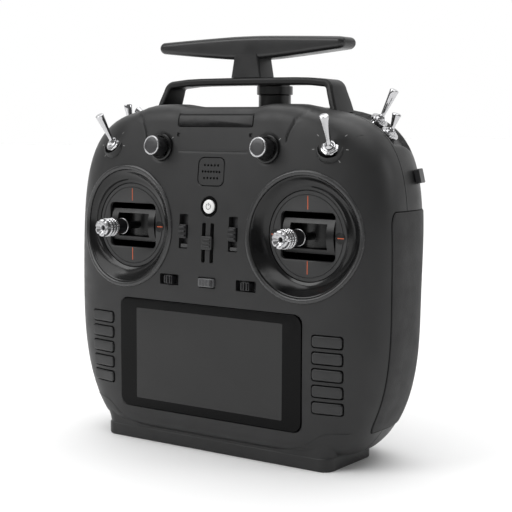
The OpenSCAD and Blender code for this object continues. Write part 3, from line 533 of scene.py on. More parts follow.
def front_skin():
    """The front shell's skin, open inside the trim rings."""
    xs = edges_of(0, GLASS_W + GLASS_GAP) + [PANEL_LINE_X]
    zs = edges_of(GLASS_Z, GLASS_H + GLASS_GAP) + [PANEL_LINE_Z + d for d in (-0.2, 0, 0.2)]
    for x, z, w, h, _, _ in SQUARE_CUTS:
        across, upward = lines_round(on_front(x, z), w, h)
        xs += across
        zs += upward
    grid = half_skin(-1, graded(0, FLAT_X, 0.55, xs), skin_rows(0.55, zs), 26, front_recess)
    flat = grid.reshape(-1, 3)
    near_top = ease((flat[:, 2] - 166) / 9)
    flat[:, 2] += top_hump(flat[:, 0], flat[:, 1]) * near_top
    n, m = grid.shape[:2]
    mid = (grid[:-1, :-1] + grid[1:, 1:]) / 2
    keep = np.hypot(np.abs(mid[..., 0]) - GIMBAL_X, mid[..., 2] - STICK_Z) > RING_R - 1.2
    piece("front_shell_skin", flat.tolist(), grid_faces(n, m, keep), "case", "shell", SHELL,
          ("front_shell",), 42)


REAR_SCREWS = ((62, 16), (52, 164))
# Beds of the battery door and the module cover: z of the middle, width and height
REAR_BEDS = ((52, 84.6, 56.6), (122, 66.2, 48.2))
DECK_IN, DECK_OUT, DECK_SINK = 50.0, 88.5, 2.2


def rear_recess(x, z):
    """How deep the rear face is cut at each point."""
    depths = [cut(box_gap(x, z - middle, w, h, 3), 3.0) for middle, w, h in REAR_BEDS]
    depths += [cut(np.hypot(np.abs(x) - x0, z - z0) - 2.7, 6, 0.6) for x0, z0 in REAR_SCREWS]
    return np.max(depths, axis=0)


def deck_channel(x, y, z):
    """How far the shoulders sink where the rear switches stand."""
    along = ease((np.abs(x) - DECK_IN) / 3) * ease((DECK_OUT - np.abs(x)) / 3)
    across = ease((y - (SEAM_Y + 2.0)) / 1.6) * ease((SEAM_Y + 21 - y) / 2.0) * (z > 120)
    return DECK_SINK * along * across


def rear_skin():
    """The rear shell's skin, with beds for the door and the cover."""
    xs, zs = [], []
    for middle, w, h in REAR_BEDS:
        xs += edges_of(0, w)
        zs += edges_of(middle, h)
    for x, z in REAR_SCREWS:
        xs += [x - 3.5 + 0.2 * k for k in range(36)]
        zs += [max(14.5, z - 3.5) + 0.2 * k for k in range(36 if z > 20 else 26)]
    grid = half_skin(1, graded(0, FLAT_X, 1.0, xs), skin_rows(1.0, zs), 44, rear_recess)
    flat = grid.reshape(-1, 3)
    sink = deck_channel(*flat.T)
    flat[:, 0] -= np.sign(flat[:, 0]) * sink * 0.55
    flat[:, 2] -= sink * 0.84
    n, m = grid.shape[:2]
    piece("rear_shell_skin", flat.tolist(), grid_faces(n, m), "case", "shell", SHELL,
          ("rear_shell",), 42)


# ---------------------------------------------------------------- gimbals
WINDOW_W, WINDOW_H, WINDOW_R = 30.9, 23.3, 2.4


def ring_lip(angle):
    """The y of a trim ring's crest, which stands 0.9 mm proud of the face."""
    return float(front_y(GIMBAL_X + RING_R * math.cos(angle), STICK_Z + RING_R * math.sin(angle))) - 0.9


def lip_section(angle):
    """Points [radius, y] across the raised lip of a trim ring."""
    lip = ring_lip(angle)
    points = [(RING_R, lip + 3.2), (RING_R, lip + 0.7)]
    points += [(RING_R - 1.25 + 1.25 * math.cos(t), lip + 0.75 - 0.75 * math.sin(t))
               for t in [math.pi * k / 12 for k in range(13)]]
    return points + [(RING_R - 2.5, lip + 1.6)]


def dish_section(angle):
    """Points [radius, y] across the cone between the lip and the face plate."""
    lip = ring_lip(angle)
    points = [(RING_R - 2.3, lip + 2.0), (RING_R - 2.55, lip + 0.95), (RING_R - 2.9, lip + 0.8),
              (RING_R - 3.3, lip + 1.0)]
    start, end = points[-1], (FACE_R + 1.6, FACE_Y - 0.7)
    for k in range(1, 11):
        t = k / 10
        bow = math.sin(math.pi * t)
        points.append((start[0] + (end[0] - start[0]) * t - 0.2 * bow,
                       start[1] + (end[1] - start[1]) * t + 0.9 * bow))
    points += [(FACE_R + 0.9, FACE_Y - 0.35), (FACE_R + 0.25, FACE_Y - 0.1), (FACE_R + 0.2, FACE_Y + 1.5)]
    return points


def both_rings(name, section, material, nodes):
    """A section swept round both gimbals."""
    steps = 180
    parts = []
    for side, _ in SIDES:
        loops = []
        for k in range(steps):
            a = 2 * math.pi * k / steps
            loops.append([(side * (GIMBAL_X + r * math.cos(a)), y, STICK_Z + r * math.sin(a))
                          for r, y in section(a)])
        n = len(loops[0])
        verts = [p for loop in loops for p in loop]
        faces = [(i * n + j, i * n + j + 1, (i + 1) % steps * n + j + 1, (i + 1) % steps * n + j)
                 for i in range(steps) for j in range(n - 1)]
        parts.append((verts, faces))
    piece(name, *joined(*parts), "case", "ring", material, nodes, 30)


def gimbal_rings():
    """The satin lip and the glossy dish of each trim ring."""
    both_rings("ring_lips", lip_section, LIP, ("gimbal_rings",))
    both_rings("ring_dishes", dish_section, RING, ())


def face_plates():
    """Round plates with a rounded window, a scribed circle and a pocket each side."""
    angles = [2 * math.pi * k / 192 for k in range(192)]

    def circle(r, z):
        return [(r * math.cos(a), r * math.sin(a), z) for a in angles]

    def frame_loop(grow, z):
        reach = [edge_reach(a, WINDOW_W + 2 * grow, WINDOW_H + 2 * grow, WINDOW_R + grow) for a in angles]
        return [(r * math.cos(a), r * math.sin(a), z) for r, a in zip(reach, angles)]

    loops = [circle(FACE_R, -2), circle(FACE_R, -0.3), circle(FACE_R - 0.3, 0), circle(20.35, 0),
             circle(20.2, -0.3), circle(20.0, -0.3), circle(19.85, 0), frame_loop(0.5, 0),
             frame_loop(0.35, -0.05), frame_loop(0.12, -0.2), frame_loop(0, -0.5), frame_loop(0, -2)]
    plate = stack(loops, caps=False)
    pocket = lathe([(0.01, 0.42), (2.0, 0.42), (2.1, 0.32), (2.6, 0.32), (2.8, 0.15), (2.8, 0)], 40)
    upright, level = slab(0.45, 6.6, 0.1, 0, 0.06, 0.02), slab(3.6, 0.45, 0.1, 0, 0.5, 0.02)
    parts, marks, pockets = [], [], []
    for side, _ in SIDES:
        at = Matrix.Translation((side * GIMBAL_X, FACE_Y, STICK_Z)) @ turned("X", 90)
        parts.append(moved(plate, at))
        for mark, x, y in ((upright, 0, 16.2), (upright, 0, -15.2), (level, 18.9, 0), (level, -18.9, 0)):
            marks.append(moved(mark, at @ Matrix.Translation((x, y, 0))))
        pockets += [moved(pocket, at @ Matrix.Translation((x, 0, 0))) for x in (-18.4, 18.4)]
    piece("gimbal_face_plates", *joined(*parts), "case", "face_plate", FACE, ("gimbal_faces",), 30)
    piece("bearing_covers", *joined(*pockets), "case", "mechanism", MECHANISM, (), 30)
    piece("centre_marks", *joined(*marks), "case", "face_plate", ORANGE)


def stick_ends():
    """Silver crowned ends over black lock sleeves."""
    def crown_wave(a, z):
        if z < 38.8:
            return 1 + 0.022 * math.cos(24 * a)
        return 1 - 0.16 * max(0, math.cos(6 * a)) ** 3 if z > 40.25 else 1

    for side, word in SIDES:
        at = Matrix.Translation((side * GIMBAL_X, PIVOT_Y, STICK_Z)) @ turned("X", 90)
        body = "stick_" + word
        sleeve = lathe([(2.1, 25.2), (3.75, 25.2), (3.95, 25.5), (3.95, 31.6), (3.7, 31.9), (2.1, 31.9)], 96,
                       lambda a, z: 1 + 0.018 * math.cos(32 * a))
        piece("stick_sleeve_" + word, *sleeve, body, "stick_end", SLEEVE, (), 30, at)
        band = lathe([(2.05, 24.6), (3.95, 24.6), (4.15, 24.75), (4.15, 25.15), (3.95, 25.3), (2.05, 25.3)],
                     64)
        profile = [(2.1, 32.0), (4.1, 32.0), (4.2, 32.2)]
        for k in range(3):
            z = 32.6 + k * 2.1
            profile += [(4.0, z), (4.7, z + 0.35), (4.7, z + 1.15), (4.0, z + 1.5)]
        profile += [(4.0, 38.7), (4.5, 39.2), (4.5, 40.6)]
        profile += [(4.3, 41.1), (3.6, 41.4), (3.1, 41.0), (2.3, 40.3), (1.3, 40.1), (1.1, 39.7), (1.05, 35),
                    (0.01, 35)]
        crown = lathe(profile, 144, crown_wave)
        piece("stick_crown_" + word, *joined(crown, band), body, "stick_end", SILVER,
              ("stick_tip_" + word,), 30, at)


def gimbal_works():
    """Housings, yokes and sticks in the shapes of the CAD model."""
    bevelled("gimbal_frames", 0.3, MECHANISM)
    for _, word in SIDES:
        bevelled("yoke_" + word, 0.7, YOKE, segments=4)
        bevelled("stick_" + word, 0.25, MECHANISM)


# ---------------------------------------------------------------- keys, buttons, sliders
def soft_keys():
    """Five crowned keys on each side of the display."""
    for side, word in SIDES:
        for k in range(KEYS):
            at = on_front(side * KEY_X, KEY_Z + k * KEY_PITCH)
            node = f"key_{word}_{k + 1}"
            cap = slab(KEY_W, KEY_H, 1.5, -3.3, 0.5, 0.55, 0.12, 8)
            piece(node + "_cap", *cap, node, "keys", KEY, (node,), 40, at)


def power_button():
    """A white cap with a plain ring-and-bar symbol, in a black seat."""
    at = on_front(0, POWER_Z)
    cap = lathe([(3.5, -3.4), (3.5, 0.1), (3.4, 0.35), (3.1, 0.5), (2.0, 0.62), (0.01, 0.66)], 64)
    piece("power_cap", *cap, "power_button", "power", WHITE, ("power_button",), 30, at)
    arc = []
    for k in range(25):
        a = math.radians(120 + 300 * k / 24)
        arc.append([(r * math.cos(a), r * math.sin(a), z) for r, z in
                    ((1.25, 0.6), (1.25, 0.68), (1.55, 0.67), (1.55, 0.58))])
    bar = slab(0.32, 1.5, 0.1, 0.5, 0.7, 0.03)
    symbol = joined(stack(arc), moved(bar, Matrix.Translation((0, 1.15, 0))))
    piece("power_symbol", *symbol, "power_button", "grey_button", GREY, (), 30, at)
    seat = lathe([(3.95, -0.3), (4.0, 0.12), (4.25, 0.25), (4.9, 0.22), (5.1, 0.0), (5.1, -0.5)], 72)
    piece("power_seat", *seat, "case", "ring", BLACK_AND_SHADE, (), 30, at)


def menu_button():
    """A ribbed grey button with a dark end."""
    at = on_front(0, LEVEL_Z)
    parts = [slab(9.6, 4.3, 0.7, -3.3, 1.15, 0.35)]
    rib = slab(0.55, 3.3, 0.2, 1.0, 1.6, 0.2)
    parts += [moved(rib, Matrix.Translation((-3.9 + k * 0.92, 0, 0))) for k in range(8)]
    piece("menu_cap", *joined(*parts), "menu_button", "grey_button", GREY, ("menu_button",), 35, at)
    band = moved(slab(1.3, 3.5, 0.3, 1.0, 1.55, 0.2), Matrix.Translation((3.85, 0, 0)))
    piece("menu_end", *band, "menu_button", "slider", SLIDER, (), 35, at)


def trim_lever(slot_w, slot_l, saddle):
    """A ribbed saddle on a flat carriage that covers the slot."""
    parts = [slab(slot_w + 1.6, slot_l + 2, 1, -4.1, -3.0, 0.2),
             slab(slot_w - 0.8, saddle, 0.5, -3.3, 1.0, 0.4)]
    for k in (-1, 0, 1):
        rib = slab(slot_w - 1.2, 1.0, 0.3, 0.8, 1.9 + 0.3 * (k == 0), 0.3)
        parts.append(moved(rib, Matrix.Translation((0, k * saddle * 0.3, 0))))
    return joined(*parts)


def trims():
    """Trim levers, and the pale patch at the lower end of the upright slots."""
    upright, level = trim_lever(*TRIM_SLOT, 7), trim_lever(*reversed(LEVEL_SLOT), 5.2)
    patch = moved(slab(4.4, 1.9, 0.3, -1.6, -0.8, 0.2), Matrix.Translation((0, -7.35, 0)))
    for side, word in SIDES:
        at = on_front(side * TRIM_X, TRIM_Z)
        node = "trim_up_" + word
        piece(node + "_look", *upright, node, "slider", SLIDER, (node,), 35, at)
        piece(node + "_patch", *patch, "case", "slider", PATCH, (), 35, at)
        node = "trim_level_" + word
        at = on_front(side * LEVEL_X, LEVEL_Z) @ turned("Z", 90)
        piece(node + "_look", *level, node, "slider", SLIDER, (node,), 35, at)


def sliders():
    """The centre slider's ribbed cap on two legs, and the side sliders."""
    at = on_front(0, CENTRE_Z)
    parts = [slab(6.6, 6.9, 1, 0.35, 1.5, 0.5)]
    for k in (-1, 0, 1):
        parts.append(moved(slab(5.2, 0.9, 0.3, 1.2, 2.0, 0.3), Matrix.Translation((0, k * 1.7, 0))))
    for s in (-1, 1):
        parts.append(moved(slab(1.1, 4, 0.3, -3.4, 1, 0.1), Matrix.Translation((s * CENTRE_SLOT_X, 0, 0))))
    piece("centre_slider_look", *joined(*parts), "centre_slider", "slider", KEY, ("centre_slider",), 35, at)
    for _, word in SIDES:
        bevelled("side_slider_" + word, 0.5, SLIDER)


def dials():
    """Ribbed knobs with a bright rim and a grey top, each in a collar."""
    knob = lathe([(1.5, -7), (1.5, 0.7), (4.7, 0.7), (4.9, 1.0), (4.9, 7.6), (4.75, 7.9), (4.4, 7.9),
                  (0.01, 7.9)], 144, lambda a, z: 1 + (0.014 * math.cos(36 * a) if z > 0.8 else 0))
    rim = lathe([(4.2, 7.8), (4.75, 7.8), (4.9, 8.0), (4.85, 8.35), (4.55, 8.6), (4.25, 8.6), (4.1, 8.45),
                 (4.1, 7.8)], 96)
    cap = lathe([(4.15, 7.9), (4.15, 8.4), (3.9, 8.5), (2, 8.55), (0.01, 8.56)], 64)
    collar = lathe([(5.35, -0.4), (5.35, 0.9), (5.6, 1.15), (6.3, 1.15), (6.9, 0.8), (7.1, 0.2),
                    (7.1, -0.4)], 96)
    for side, word in SIDES:
        at = on_front(side * DIAL_X, DIAL_Z)
        body = "dial_" + word
        piece("dial_knob_" + word, *knob, body, "dial", DIAL, (body,), 30, at)
        piece("dial_rim_" + word, *rim, body, "stick_end", SILVER, (), 30, at)
        piece("dial_top_" + word, *cap, body, "stick_end", CAP, ("dial_cap_" + word,), 30, at)
        nodes = ("dial_collars",) if side < 0 else ()
        piece("dial_collar_" + word, *collar, "case", "dial", RING, nodes, 30, at)


# ---------------------------------------------------------------- switches
def lever(length, base_r, tip_r):
    """A toggle lever: ball, slim neck, widening to a chamfered end."""
    profile = [(0.01, -2.1), (1.2, -1.75), (1.95, -0.9), (2.1, 0), (1.9, 0.9), (1.3, 1.6), (base_r, 2.3)]
    for k in range(7):
        t = (k + 1) / 7
        profile.append((base_r + (tip_r - base_r) * t ** 1.15, 2.3 + (length - 2.9) * t))
    profile += [(tip_r - 0.12, length - 0.25), (tip_r - 0.5, length), (0.01, length + 0.1)]
    return lathe(profile, 48)


def bush_and_nut():
    """Threaded bush with a domed dress nut."""
    nut = lathe([(3.1, -0.6), (4.5, -0.6), (4.6, -0.3), (4.6, 0.6), (4.3, 1.1), (3.6, 1.3), (3.1, 1.3)], 72,
                lambda a, z: 1 - (0.035 * max(0, math.cos(8 * a)) if z > -0.5 else 0))
    bush = lathe([(3.0, -8), (3.0, 1.5), (2.85, 1.9), (2.5, 2.0), (2.2, 1.7), (2.2, -1.0)], 64)
    return nut, bush


def switches():
    """Six toggle switches; the front ones stand in raised round seats, each floored with a near-black disc of
    painted shade.
    """
    nut, bush = bush_and_nut()
    seat = lathe([(6.0, -0.7), (6.05, 0.5), (6.25, 0.8), (6.6, 0.7), (6.9, 0.2), (7.4, -1.6), (7.4, -5)], 96)
    # A near-black disc inside each front seat: painted shade of the hollow round the nut.
    floor = lathe([(0.01, -0.62), (5.95, -0.62), (6.02, 0.3), (6.02, -1)], 64)
    places = []
    for side, word in SIDES:
        at = at_front_switch(side)
        places += [at, at_rear_switch(side, INNER), at_rear_switch(side, OUTER)]
        ball = at @ Matrix.Translation((0, 0, BALL_LIFT)) @ turned("X", -25)
        name = "front_lever_" + word
        piece(name + "_look", *lever(17, 1.05, 2.3), name, "chrome", CHROME, (name,), 30, ball)
        piece("switch_seat_" + word, *seat, "case", "shell", SHELL, (), 30, at)
        piece("switch_seat_shade_" + word, *floor, "case", "ring", BLACK_AND_SHADE, (), 30, at)
    for name, (side, switch, length, tilt) in REAR_LEVERS.items():
        ball = at_rear_switch(side, switch) @ Matrix.Translation((0, 0, BALL_LIFT)) @ turned("Y", tilt)
        piece(name + "_look", *lever(length, 1.1, 2.3), name, "chrome", CHROME, (name,), 30, ball)
    nuts, bushes = [moved(nut, at) for at in places], [moved(bush, at) for at in places]
    piece("dress_nuts", *joined(*nuts), "case", "chrome", CHROME, ("switch_nuts",), 30)
    piece("switch_bushes", *joined(*bushes), "case", "steel", CHROME, ("switch_bodies",), 30)


def tick_marks():
    """Plain printed dashes round the switches and dials."""
    spots = []
    for x, z, reach_x, reach_z, angles in ((SWITCH_X, SWITCH_Z, 8.6, 8.8, (-50, -8, 38, 142, 188)),
                                           (DIAL_X, DIAL_Z, 8.4, 8.4, (35, 145))):
        for angle in angles:
            a = math.radians(angle)
            spots.append((x + reach_x * math.cos(a), z + reach_z * math.sin(a), angle))
    dash = slab(1.3, 0.28, 0.1, -0.3, 0.03, 0.01)
    parts = []
    for side, _ in SIDES:
        for x, z, angle in spots:
            parts.append(moved(dash, on_front(side * x, z) @ turned("Z", angle if side > 0 else 180 - angle)))
    piece("tick_marks", *joined(*parts), "case", "shell", PRINT)


# ---------------------------------------------------------------- display and strip
SCREEN_SIZE = (91.8, 47.7)
GRILLE_W, GRILLE_H, GRILLE_R, HOLE_R, HOLE_ROW = 16, 14, 3.5, 0.42, 3.2


def display():
    """The cover glass and the grey screen area on it."""
    at = Matrix.Translation((0, GLASS_Y, GLASS_Z)) @ turned("X", 90)
    glass = slab(GLASS_W, GLASS_H, 5, -1.3, 0.05, 0.25, 0, 10)
    piece("cover_glass_look", *glass, "case", "cover_glass", GLASS, ("display_glass",), 30, at)
    piece("screen_area", *slab(*SCREEN_SIZE, 0.6, 0.0, 0.075, 0.02), "case", "screen", SCREEN, (), 30, at)


def strip_and_grille():
    """The dark window above the dials, and the pad with three rows of holes."""
    piece("status_window_look", *slab(46.4, 5.7, 1.1, -1, 0.0, 0.25), "case", "strip", STRIP,
          ("status_window",), 30, on_front(0, STRIP_Z))
    half_x, half_y = GRILLE_W / 2, GRILLE_H / 2
    x, y = np.meshgrid(np.linspace(-half_x, half_x, 97), np.linspace(-half_y, half_y, 85))
    rim = box_gap(x, y, GRILLE_W, GRILLE_H, GRILLE_R)
    depth = np.zeros_like(x)
    for row, reach, pitch in ((-1, 2, 2.05), (0, 3, 1.75), (1, 2, 2.05)):
        for k in range(-reach, reach + 1):
            hole = np.hypot(x - k * pitch, y - row * HOLE_ROW) - HOLE_R
            depth = np.maximum(depth, cut(hole, 1.1, 0.16))
    corner = np.hypot(np.abs(x) - half_x + GRILLE_R, np.abs(y) - half_y + GRILLE_R)
    pull = np.where(rim > 0, 1 - rim / np.maximum(0.1, corner), 1)
    x, y = x * pull, y * pull
    z = 0.03 - depth - 0.5 * ease((rim + 0.35) / 0.5)
    points = np.stack([x, y, z], -1).reshape(-1, 3)
    piece("speaker_grille_look", points.tolist(), grid_faces(*x.shape), "case", "shell", SHELL,
          ("speaker_grille",), 35, on_front(0, GRILLE_Z))


# ---------------------------------------------------------------- handle and antenna
HANDLE_TOP, HANDLE_FOOT_Z, HANDLE_HALF = 187.9, 172.5, 55.4
BAR_HALF, BAR_LOW, BAR_HIGH, BAR_TIP = 58.0, 200.1, 211.9, 3.2


def rounded_bar(sections):
    """A bar through sections [centre, half-extent a, half-extent b, corner, direction a, direction b]."""
    loops = []
    for centre, half_a, half_b, corner, dir_a, dir_b in sections:
        ring = rect_outline(2 * half_a, 2 * half_b, corner, 7)
        loops.append([tuple(Vector(centre) + Vector(dir_a) * a + Vector(dir_b) * b) for a, b in ring])
    return stack(loops)


def handle_bar():
    """The carrying handle: two raked legs and a crowned grip, in one rounded sweep."""
    path = [(HANDLE_HALF, HANDLE_FOOT_Z), (HANDLE_HALF - 1.9, 178), (HANDLE_HALF - 3.8, 183)]
    for k in range(9):
        a = math.radians(20 + 68 * k / 8)
        path.append((HANDLE_HALF - 8.3 + 4.2 * math.cos(a), HANDLE_TOP - 4.6 + 4.2 * math.sin(a)))
    path += [(x, HANDLE_TOP + crown) for x, crown in ((38, 0.5), (30, 0.75), (15, 0.85), (0, 0.9))]
    path += [(-x, z) for x, z in reversed(path[:-1])]
    sections = []
    for k, (x, z) in enumerate(path):
        x0, z0 = path[max(0, k - 1)]
        x1, z1 = path[min(len(path) - 1, k + 1)]
        along = Vector((x1 - x0, 0, z1 - z0)).normalized()
        out = Vector((-along.z, 0, along.x))
        rise = min(1, max(0, (z - 174.8) / 15))
        front, rear = 4.3 + 3.2 * rise, 22.3 - 1.5 * rise
        sections.append(((x, (front + rear) / 2, z), 1.9, (rear - front) / 2, 1.35, out, (0, 1, 0)))
    return rounded_bar(sections)


def antenna_bar():
    """A flat bar, deepest in the middle, with blunt rounded tips."""
    sections = []
    ends = [BAR_HALF - BAR_TIP * (1 - math.sin(math.radians(a))) for a in range(0, 91, 15)]
    xs = [0, 4, 9, 14, 20, 28, 36, 44, 50] + ends
    for x in [-v for v in reversed(xs[1:])] + xs:
        bottom = BAR_LOW + 4.3 * max(0, (abs(x) - 9) / (BAR_HALF - 9)) ** 1.15
        top = BAR_HIGH - 1.9 * max(0, (abs(x) - 6) / (BAR_HALF - 6)) ** 1.2
        shrink = math.sqrt(max(0, 1 - max(0, (abs(x) - BAR_HALF + BAR_TIP) / BAR_TIP) ** 2))
        tall, deep = (top - bottom) / 2 - 2.2 * (1 - shrink), 7.25 - 2.6 * (1 - shrink)
        sections.append(((x, 15.25, (top + bottom) / 2), deep, tall, 2.4, (0, 1, 0), (0, 0, 1)))
    return rounded_bar(sections)


def antenna_neck():
    """The neck under the bar, narrower towards the bar."""
    sections = []
    for k in range(9):
        t = k / 8
        sections.append(((0, 14.2, 190.75 + 12 * t), 9.5 - 2.2 * t, 6.5, 1.2, (1, 0, 0), (0, 1, 0)))
    return rounded_bar(sections)


def handle_and_antenna():
    """The handle with its rear link and boss, the mast, and the antenna."""
    link_z = 187.15
    link = moved(slab(16, 21, 1.5, 0, 2.1, 0.5), Matrix.Translation((0, 24.4, link_z)))
    boss = moved(lathe([(0.01, 0), (8, 0), (8, 1.7), (7.6, 2.1), (0.01, 2.2)], 64),
                 Matrix.Translation((0, 34.8, link_z)))
    piece("handle_look", *joined(handle_bar(), link, boss), "case", "handle", HANDLE, ("handle",), 40)
    bevelled("antenna_mast", 0.4, AERIAL)
    antenna = joined(antenna_bar(), antenna_neck())
    piece("antenna_look", *antenna, "antenna", "antenna", AERIAL, ("antenna",), 40)


# ---------------------------------------------------------------- grips, foot, back
GRIP_LOW, GRIP_HIGH, GRIP_FRONT, GRIP_REAR = 18.5, 126.5, 13.0, 0.85
GRIP_WIDE, GRIP_CORNER, GRIP_ROLL = 27.0, 7.0, 0.8


def side_point(u, z, lift):
    """A point of the body's side, lifted off it: u runs from -1 at the front edge to 1 at the rear."""
    w = float(half_w(z))
    if u < 0:
        way, n, full = -1, FRONT_POWER, FRONT_DEPTH - float(lean(z))
        d = -u * GRIP_FRONT
    else:
        way, n, full = 1, REAR_POWER, REAR_DEPTH + float(rear_swell(z))
        d = full * GRIP_REAR * math.sin(math.pi / 2 * u)
    x = w * float(oval(d / full, DEPTH_POWER, n))
    nx = n * (x / w) ** (n - 1) / w
    ny = way * DEPTH_POWER * (d / full) ** (DEPTH_POWER - 1) / full
    size = math.hypot(nx, ny)
    return x + lift * nx / size, SEAM_Y + way * d + lift * ny / size, z


def side_panel(inset, thick, base):
    """A sheet on the body's side with rounded corners and a rolled edge, on both sides."""
    tall = (GRIP_HIGH - GRIP_LOW) / 2
    half_x, half_y = GRIP_WIDE - inset, tall - inset
    spread = [1 - (1 - k / 30) ** 2.2 for k in range(31)]
    across = [-v for v in reversed(spread)] + spread[1:]
    parts = []
    for side, _ in SIDES:
        verts = []
        for b in across:
            for a in across:
                x, y = a * half_x, b * half_y
                qx, qy = abs(x) - half_x + GRIP_CORNER, abs(y) - half_y + GRIP_CORNER
                rim = GRIP_CORNER - max(qx, qy, 0)
                if qx > 0 and qy > 0:
                    grow = max(qx, qy) / math.hypot(qx, qy)
                    x = math.copysign(half_x - GRIP_CORNER + qx * grow, x)
                    y = math.copysign(half_y - GRIP_CORNER + qy * grow, y)
                lift = base + thick * math.sqrt(max(0, 1 - (1 - min(1, rim / GRIP_ROLL)) ** 2))
                px, py, pz = side_point(x / GRIP_WIDE, (GRIP_LOW + GRIP_HIGH) / 2 + y, lift)
                verts.append((side * px, py, pz))
        parts.append((verts, grid_faces(len(across), len(across))))
    return joined(*parts)


def grips():
    """Rubber pads, each on a near-black sheet that shows round it as a line of painted shade at the seam."""
    piece("side_grip_pads", *side_panel(0.6, 0.5, 0.05), "case", "grip", GRIP, ("side_grips",), 40)
    # A near-black sheet just wider than each pad: painted shade of the seam round it.
    piece("grip_seam_shade", *side_panel(0, 0.1, -0.02), "case", "grip", BLACK_AND_SHADE, (), 40)


FLARE_LOW = 5.6


def flare():
    """The skirt that carries the shell's lower edge out to the foot, at the front and both ends."""
    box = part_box("base_foot")
    wide, deep = box[1][0] / MM * 2, box[1][1] / MM * 2
    outline = []
    for x, y in rect_outline(wide - 0.4, deep - 0.4, 7, 10):
        if outline and math.dist(outline[-1], (x, y)) > 3:
            x0, y0 = outline[-1]
            count = int(math.dist(outline[-1], (x, y)) / 2.5)
            outline += [(x0 + (x - x0) * k / count, y0 + (y - y0) * k / count) for k in range(1, count)]
        outline.append((x, y))

    def body_reach(x, y, z):
        near, far = 0.3, 1.8
        for _ in range(24):
            mid = (near + far) / 2
            px, py = x * mid, y * mid
            inside = abs(px) < float(half_w(z)) and float(front_y(px, z)) < py < float(rear_y(px, z))
            near, far = (mid, far) if inside else (near, mid)
        return near

    loops = []
    steps = 12
    for k in range(steps + 1):
        loop = []
        for x, y in outline:
            end = float(ease((abs(x) - 40) / 30))
            fade = float(ease((14 - y) / 14))
            high = 7.2 + (0.7 + 12 * end) * fade
            top = 1 + (body_reach(x, y, high) - 1) * fade if fade > 0 else 1
            t = k / steps
            grow = 1 + (top + 0.004 - 1) * t ** 1.6
            loop.append((x * grow, y * grow, FLARE_LOW + (high - FLARE_LOW) * t))
        loops.append(loop)
    piece("base_flare", *stack(loops, caps=False), "case", "shell", SHELL, (), 40)


def foot():
    """The foot and the skirt above it."""
    bevelled("base_foot", 1.0, FOOT)
    flare()


def back():
    """The battery door and the module cover in the shapes of the CAD model."""
    bevelled("battery_door", 0.6, SHELL)
    bevelled("module_cover", 0.4, SHELL)


def hidden_parts():
    """CAD nodes that keep their shape and take a better material."""
    for node, material in (("display_panel", PANEL), ("main_board", BOARD), ("keypad_membranes", GRIP),
                           ("dial_pots", STEEL), ("speaker", MECHANISM), ("battery_cells", CELL),
                           ("screws", STEEL)):
        mesh = frame["nodes"][node].data
        mesh.materials.clear()
        mesh.materials.append(material)


# ---------------------------------------------------------------- scene
BACKDROP = (-0.57, 0.81, 0.1)
ROOM_LIGHT = 0.2
SUN_POWER = 2.2
# Lamps: name, place in metres, size and power
LAMPS = (("key", (-0.7, -1.0, 0.9), 0.8, 8), ("rim", (1.1, 0.5, 0.6), 0.4, 2))
CAMERA_PLACE, CAMERA_TARGET = (386.4, -534.1, 168.2), (30.24, -25.2, 103.07)
CAMERA_ROLL, CAMERA_LENS = 0.28, 90.1


def backdrop():
    """A world that is white behind the object and dimmer all round."""
    world = bpy.data.worlds.new("studio")
    world.use_nodes = True
    nodes, links = world.node_tree.nodes, world.node_tree.links
    sky = nodes["Background"]
    sky.inputs["Color"].default_value = (1, 1, 1, 1)
    facing = nodes.new("ShaderNodeVectorMath")
    facing.operation = "DOT_PRODUCT"
    facing.inputs[1].default_value = BACKDROP
    links.new(nodes.new("ShaderNodeTexCoord").outputs["Generated"], facing.inputs[0])
    wall = nodes.new("ShaderNodeMapRange")
    wall.interpolation_type = "SMOOTHSTEP"
    wall.inputs["From Min"].default_value = 0.1
    wall.inputs["From Max"].default_value = 0.75
    wall.inputs["To Min"].default_value = ROOM_LIGHT
    wall.inputs["To Max"].default_value = 1.0
    links.new(facing.outputs["Value"], wall.inputs["Value"])
    links.new(wall.outputs["Result"], sky.inputs["Strength"])
    return world


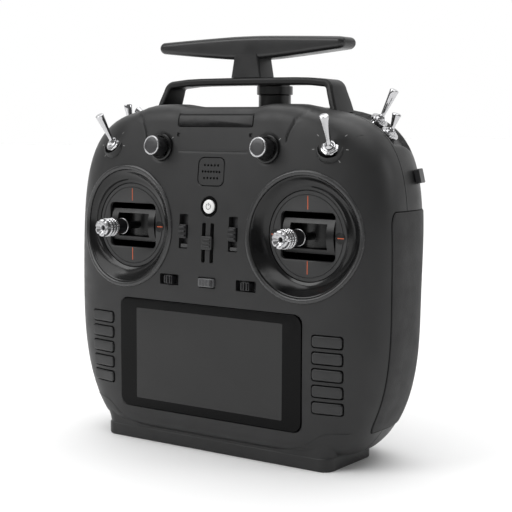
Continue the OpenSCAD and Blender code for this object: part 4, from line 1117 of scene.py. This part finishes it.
def pale_floor():
    """A wide sheet of paper under the object."""
    mesh = bpy.data.meshes.new("floor")
    mesh.from_pydata([(-6, -4, 0), (6, -4, 0), (6, 12, 0), (-6, 12, 0)], [], [(0, 1, 2, 3)])
    paper = bpy.data.materials.new("paper")
    paper.use_nodes = True
    shader = paper.node_tree.nodes["Principled BSDF"]
    shader.inputs["Base Color"].default_value = (0.92, 0.92, 0.92, 1)
    shader.inputs["Roughness"].default_value = 0.7
    mesh.materials.append(paper)
    return bpy.data.objects.new("floor", mesh)


def camera():
    """The photographer's place, to the right of the object and looking a little down."""
    data = bpy.data.cameras.new("camera")
    data.lens = CAMERA_LENS
    data.sensor_width = 36
    made = bpy.data.objects.new("camera", data)
    made.location = Vector(CAMERA_PLACE) * MM
    look = (Vector(CAMERA_TARGET) * MM - made.location).to_track_quat("-Z", "Y")
    roll = Matrix.Rotation(math.radians(CAMERA_ROLL), 3, "Z")
    made.rotation_euler = (look.to_matrix() @ roll).to_euler()
    return made


def studio():
    """A white backdrop behind a pale floor, in a dimmer room with three soft lamps."""
    scene = bpy.context.scene
    scene.view_settings.view_transform = "Standard"
    scene.world = backdrop()
    floor = pale_floor()
    scene.collection.objects.link(floor)
    for name, place, size, power in LAMPS:
        data = bpy.data.lights.new(name, "AREA")
        data.size = size
        data.energy = power
        light = bpy.data.objects.new(name, data)
        light.location = place
        aim = Vector((0, 0, 0.1)) - Vector(place)
        light.rotation_euler = aim.to_track_quat("-Z", "Y").to_euler()
        scene.collection.objects.link(light)
    data = bpy.data.lights.new("overhead", "SUN")
    data.energy = SUN_POWER
    data.angle = math.radians(70)
    scene.collection.objects.link(bpy.data.objects.new("overhead", data))
    scene.camera = camera()
    scene.collection.objects.link(scene.camera)


front_skin()
rear_skin()
gimbal_rings()
face_plates()
gimbal_works()
stick_ends()
soft_keys()
power_button()
menu_button()
trims()
sliders()
dials()
switches()
tick_marks()
display()
strip_and_grille()
handle_and_antenna()
grips()
foot()
back()
hidden_parts()
studio()
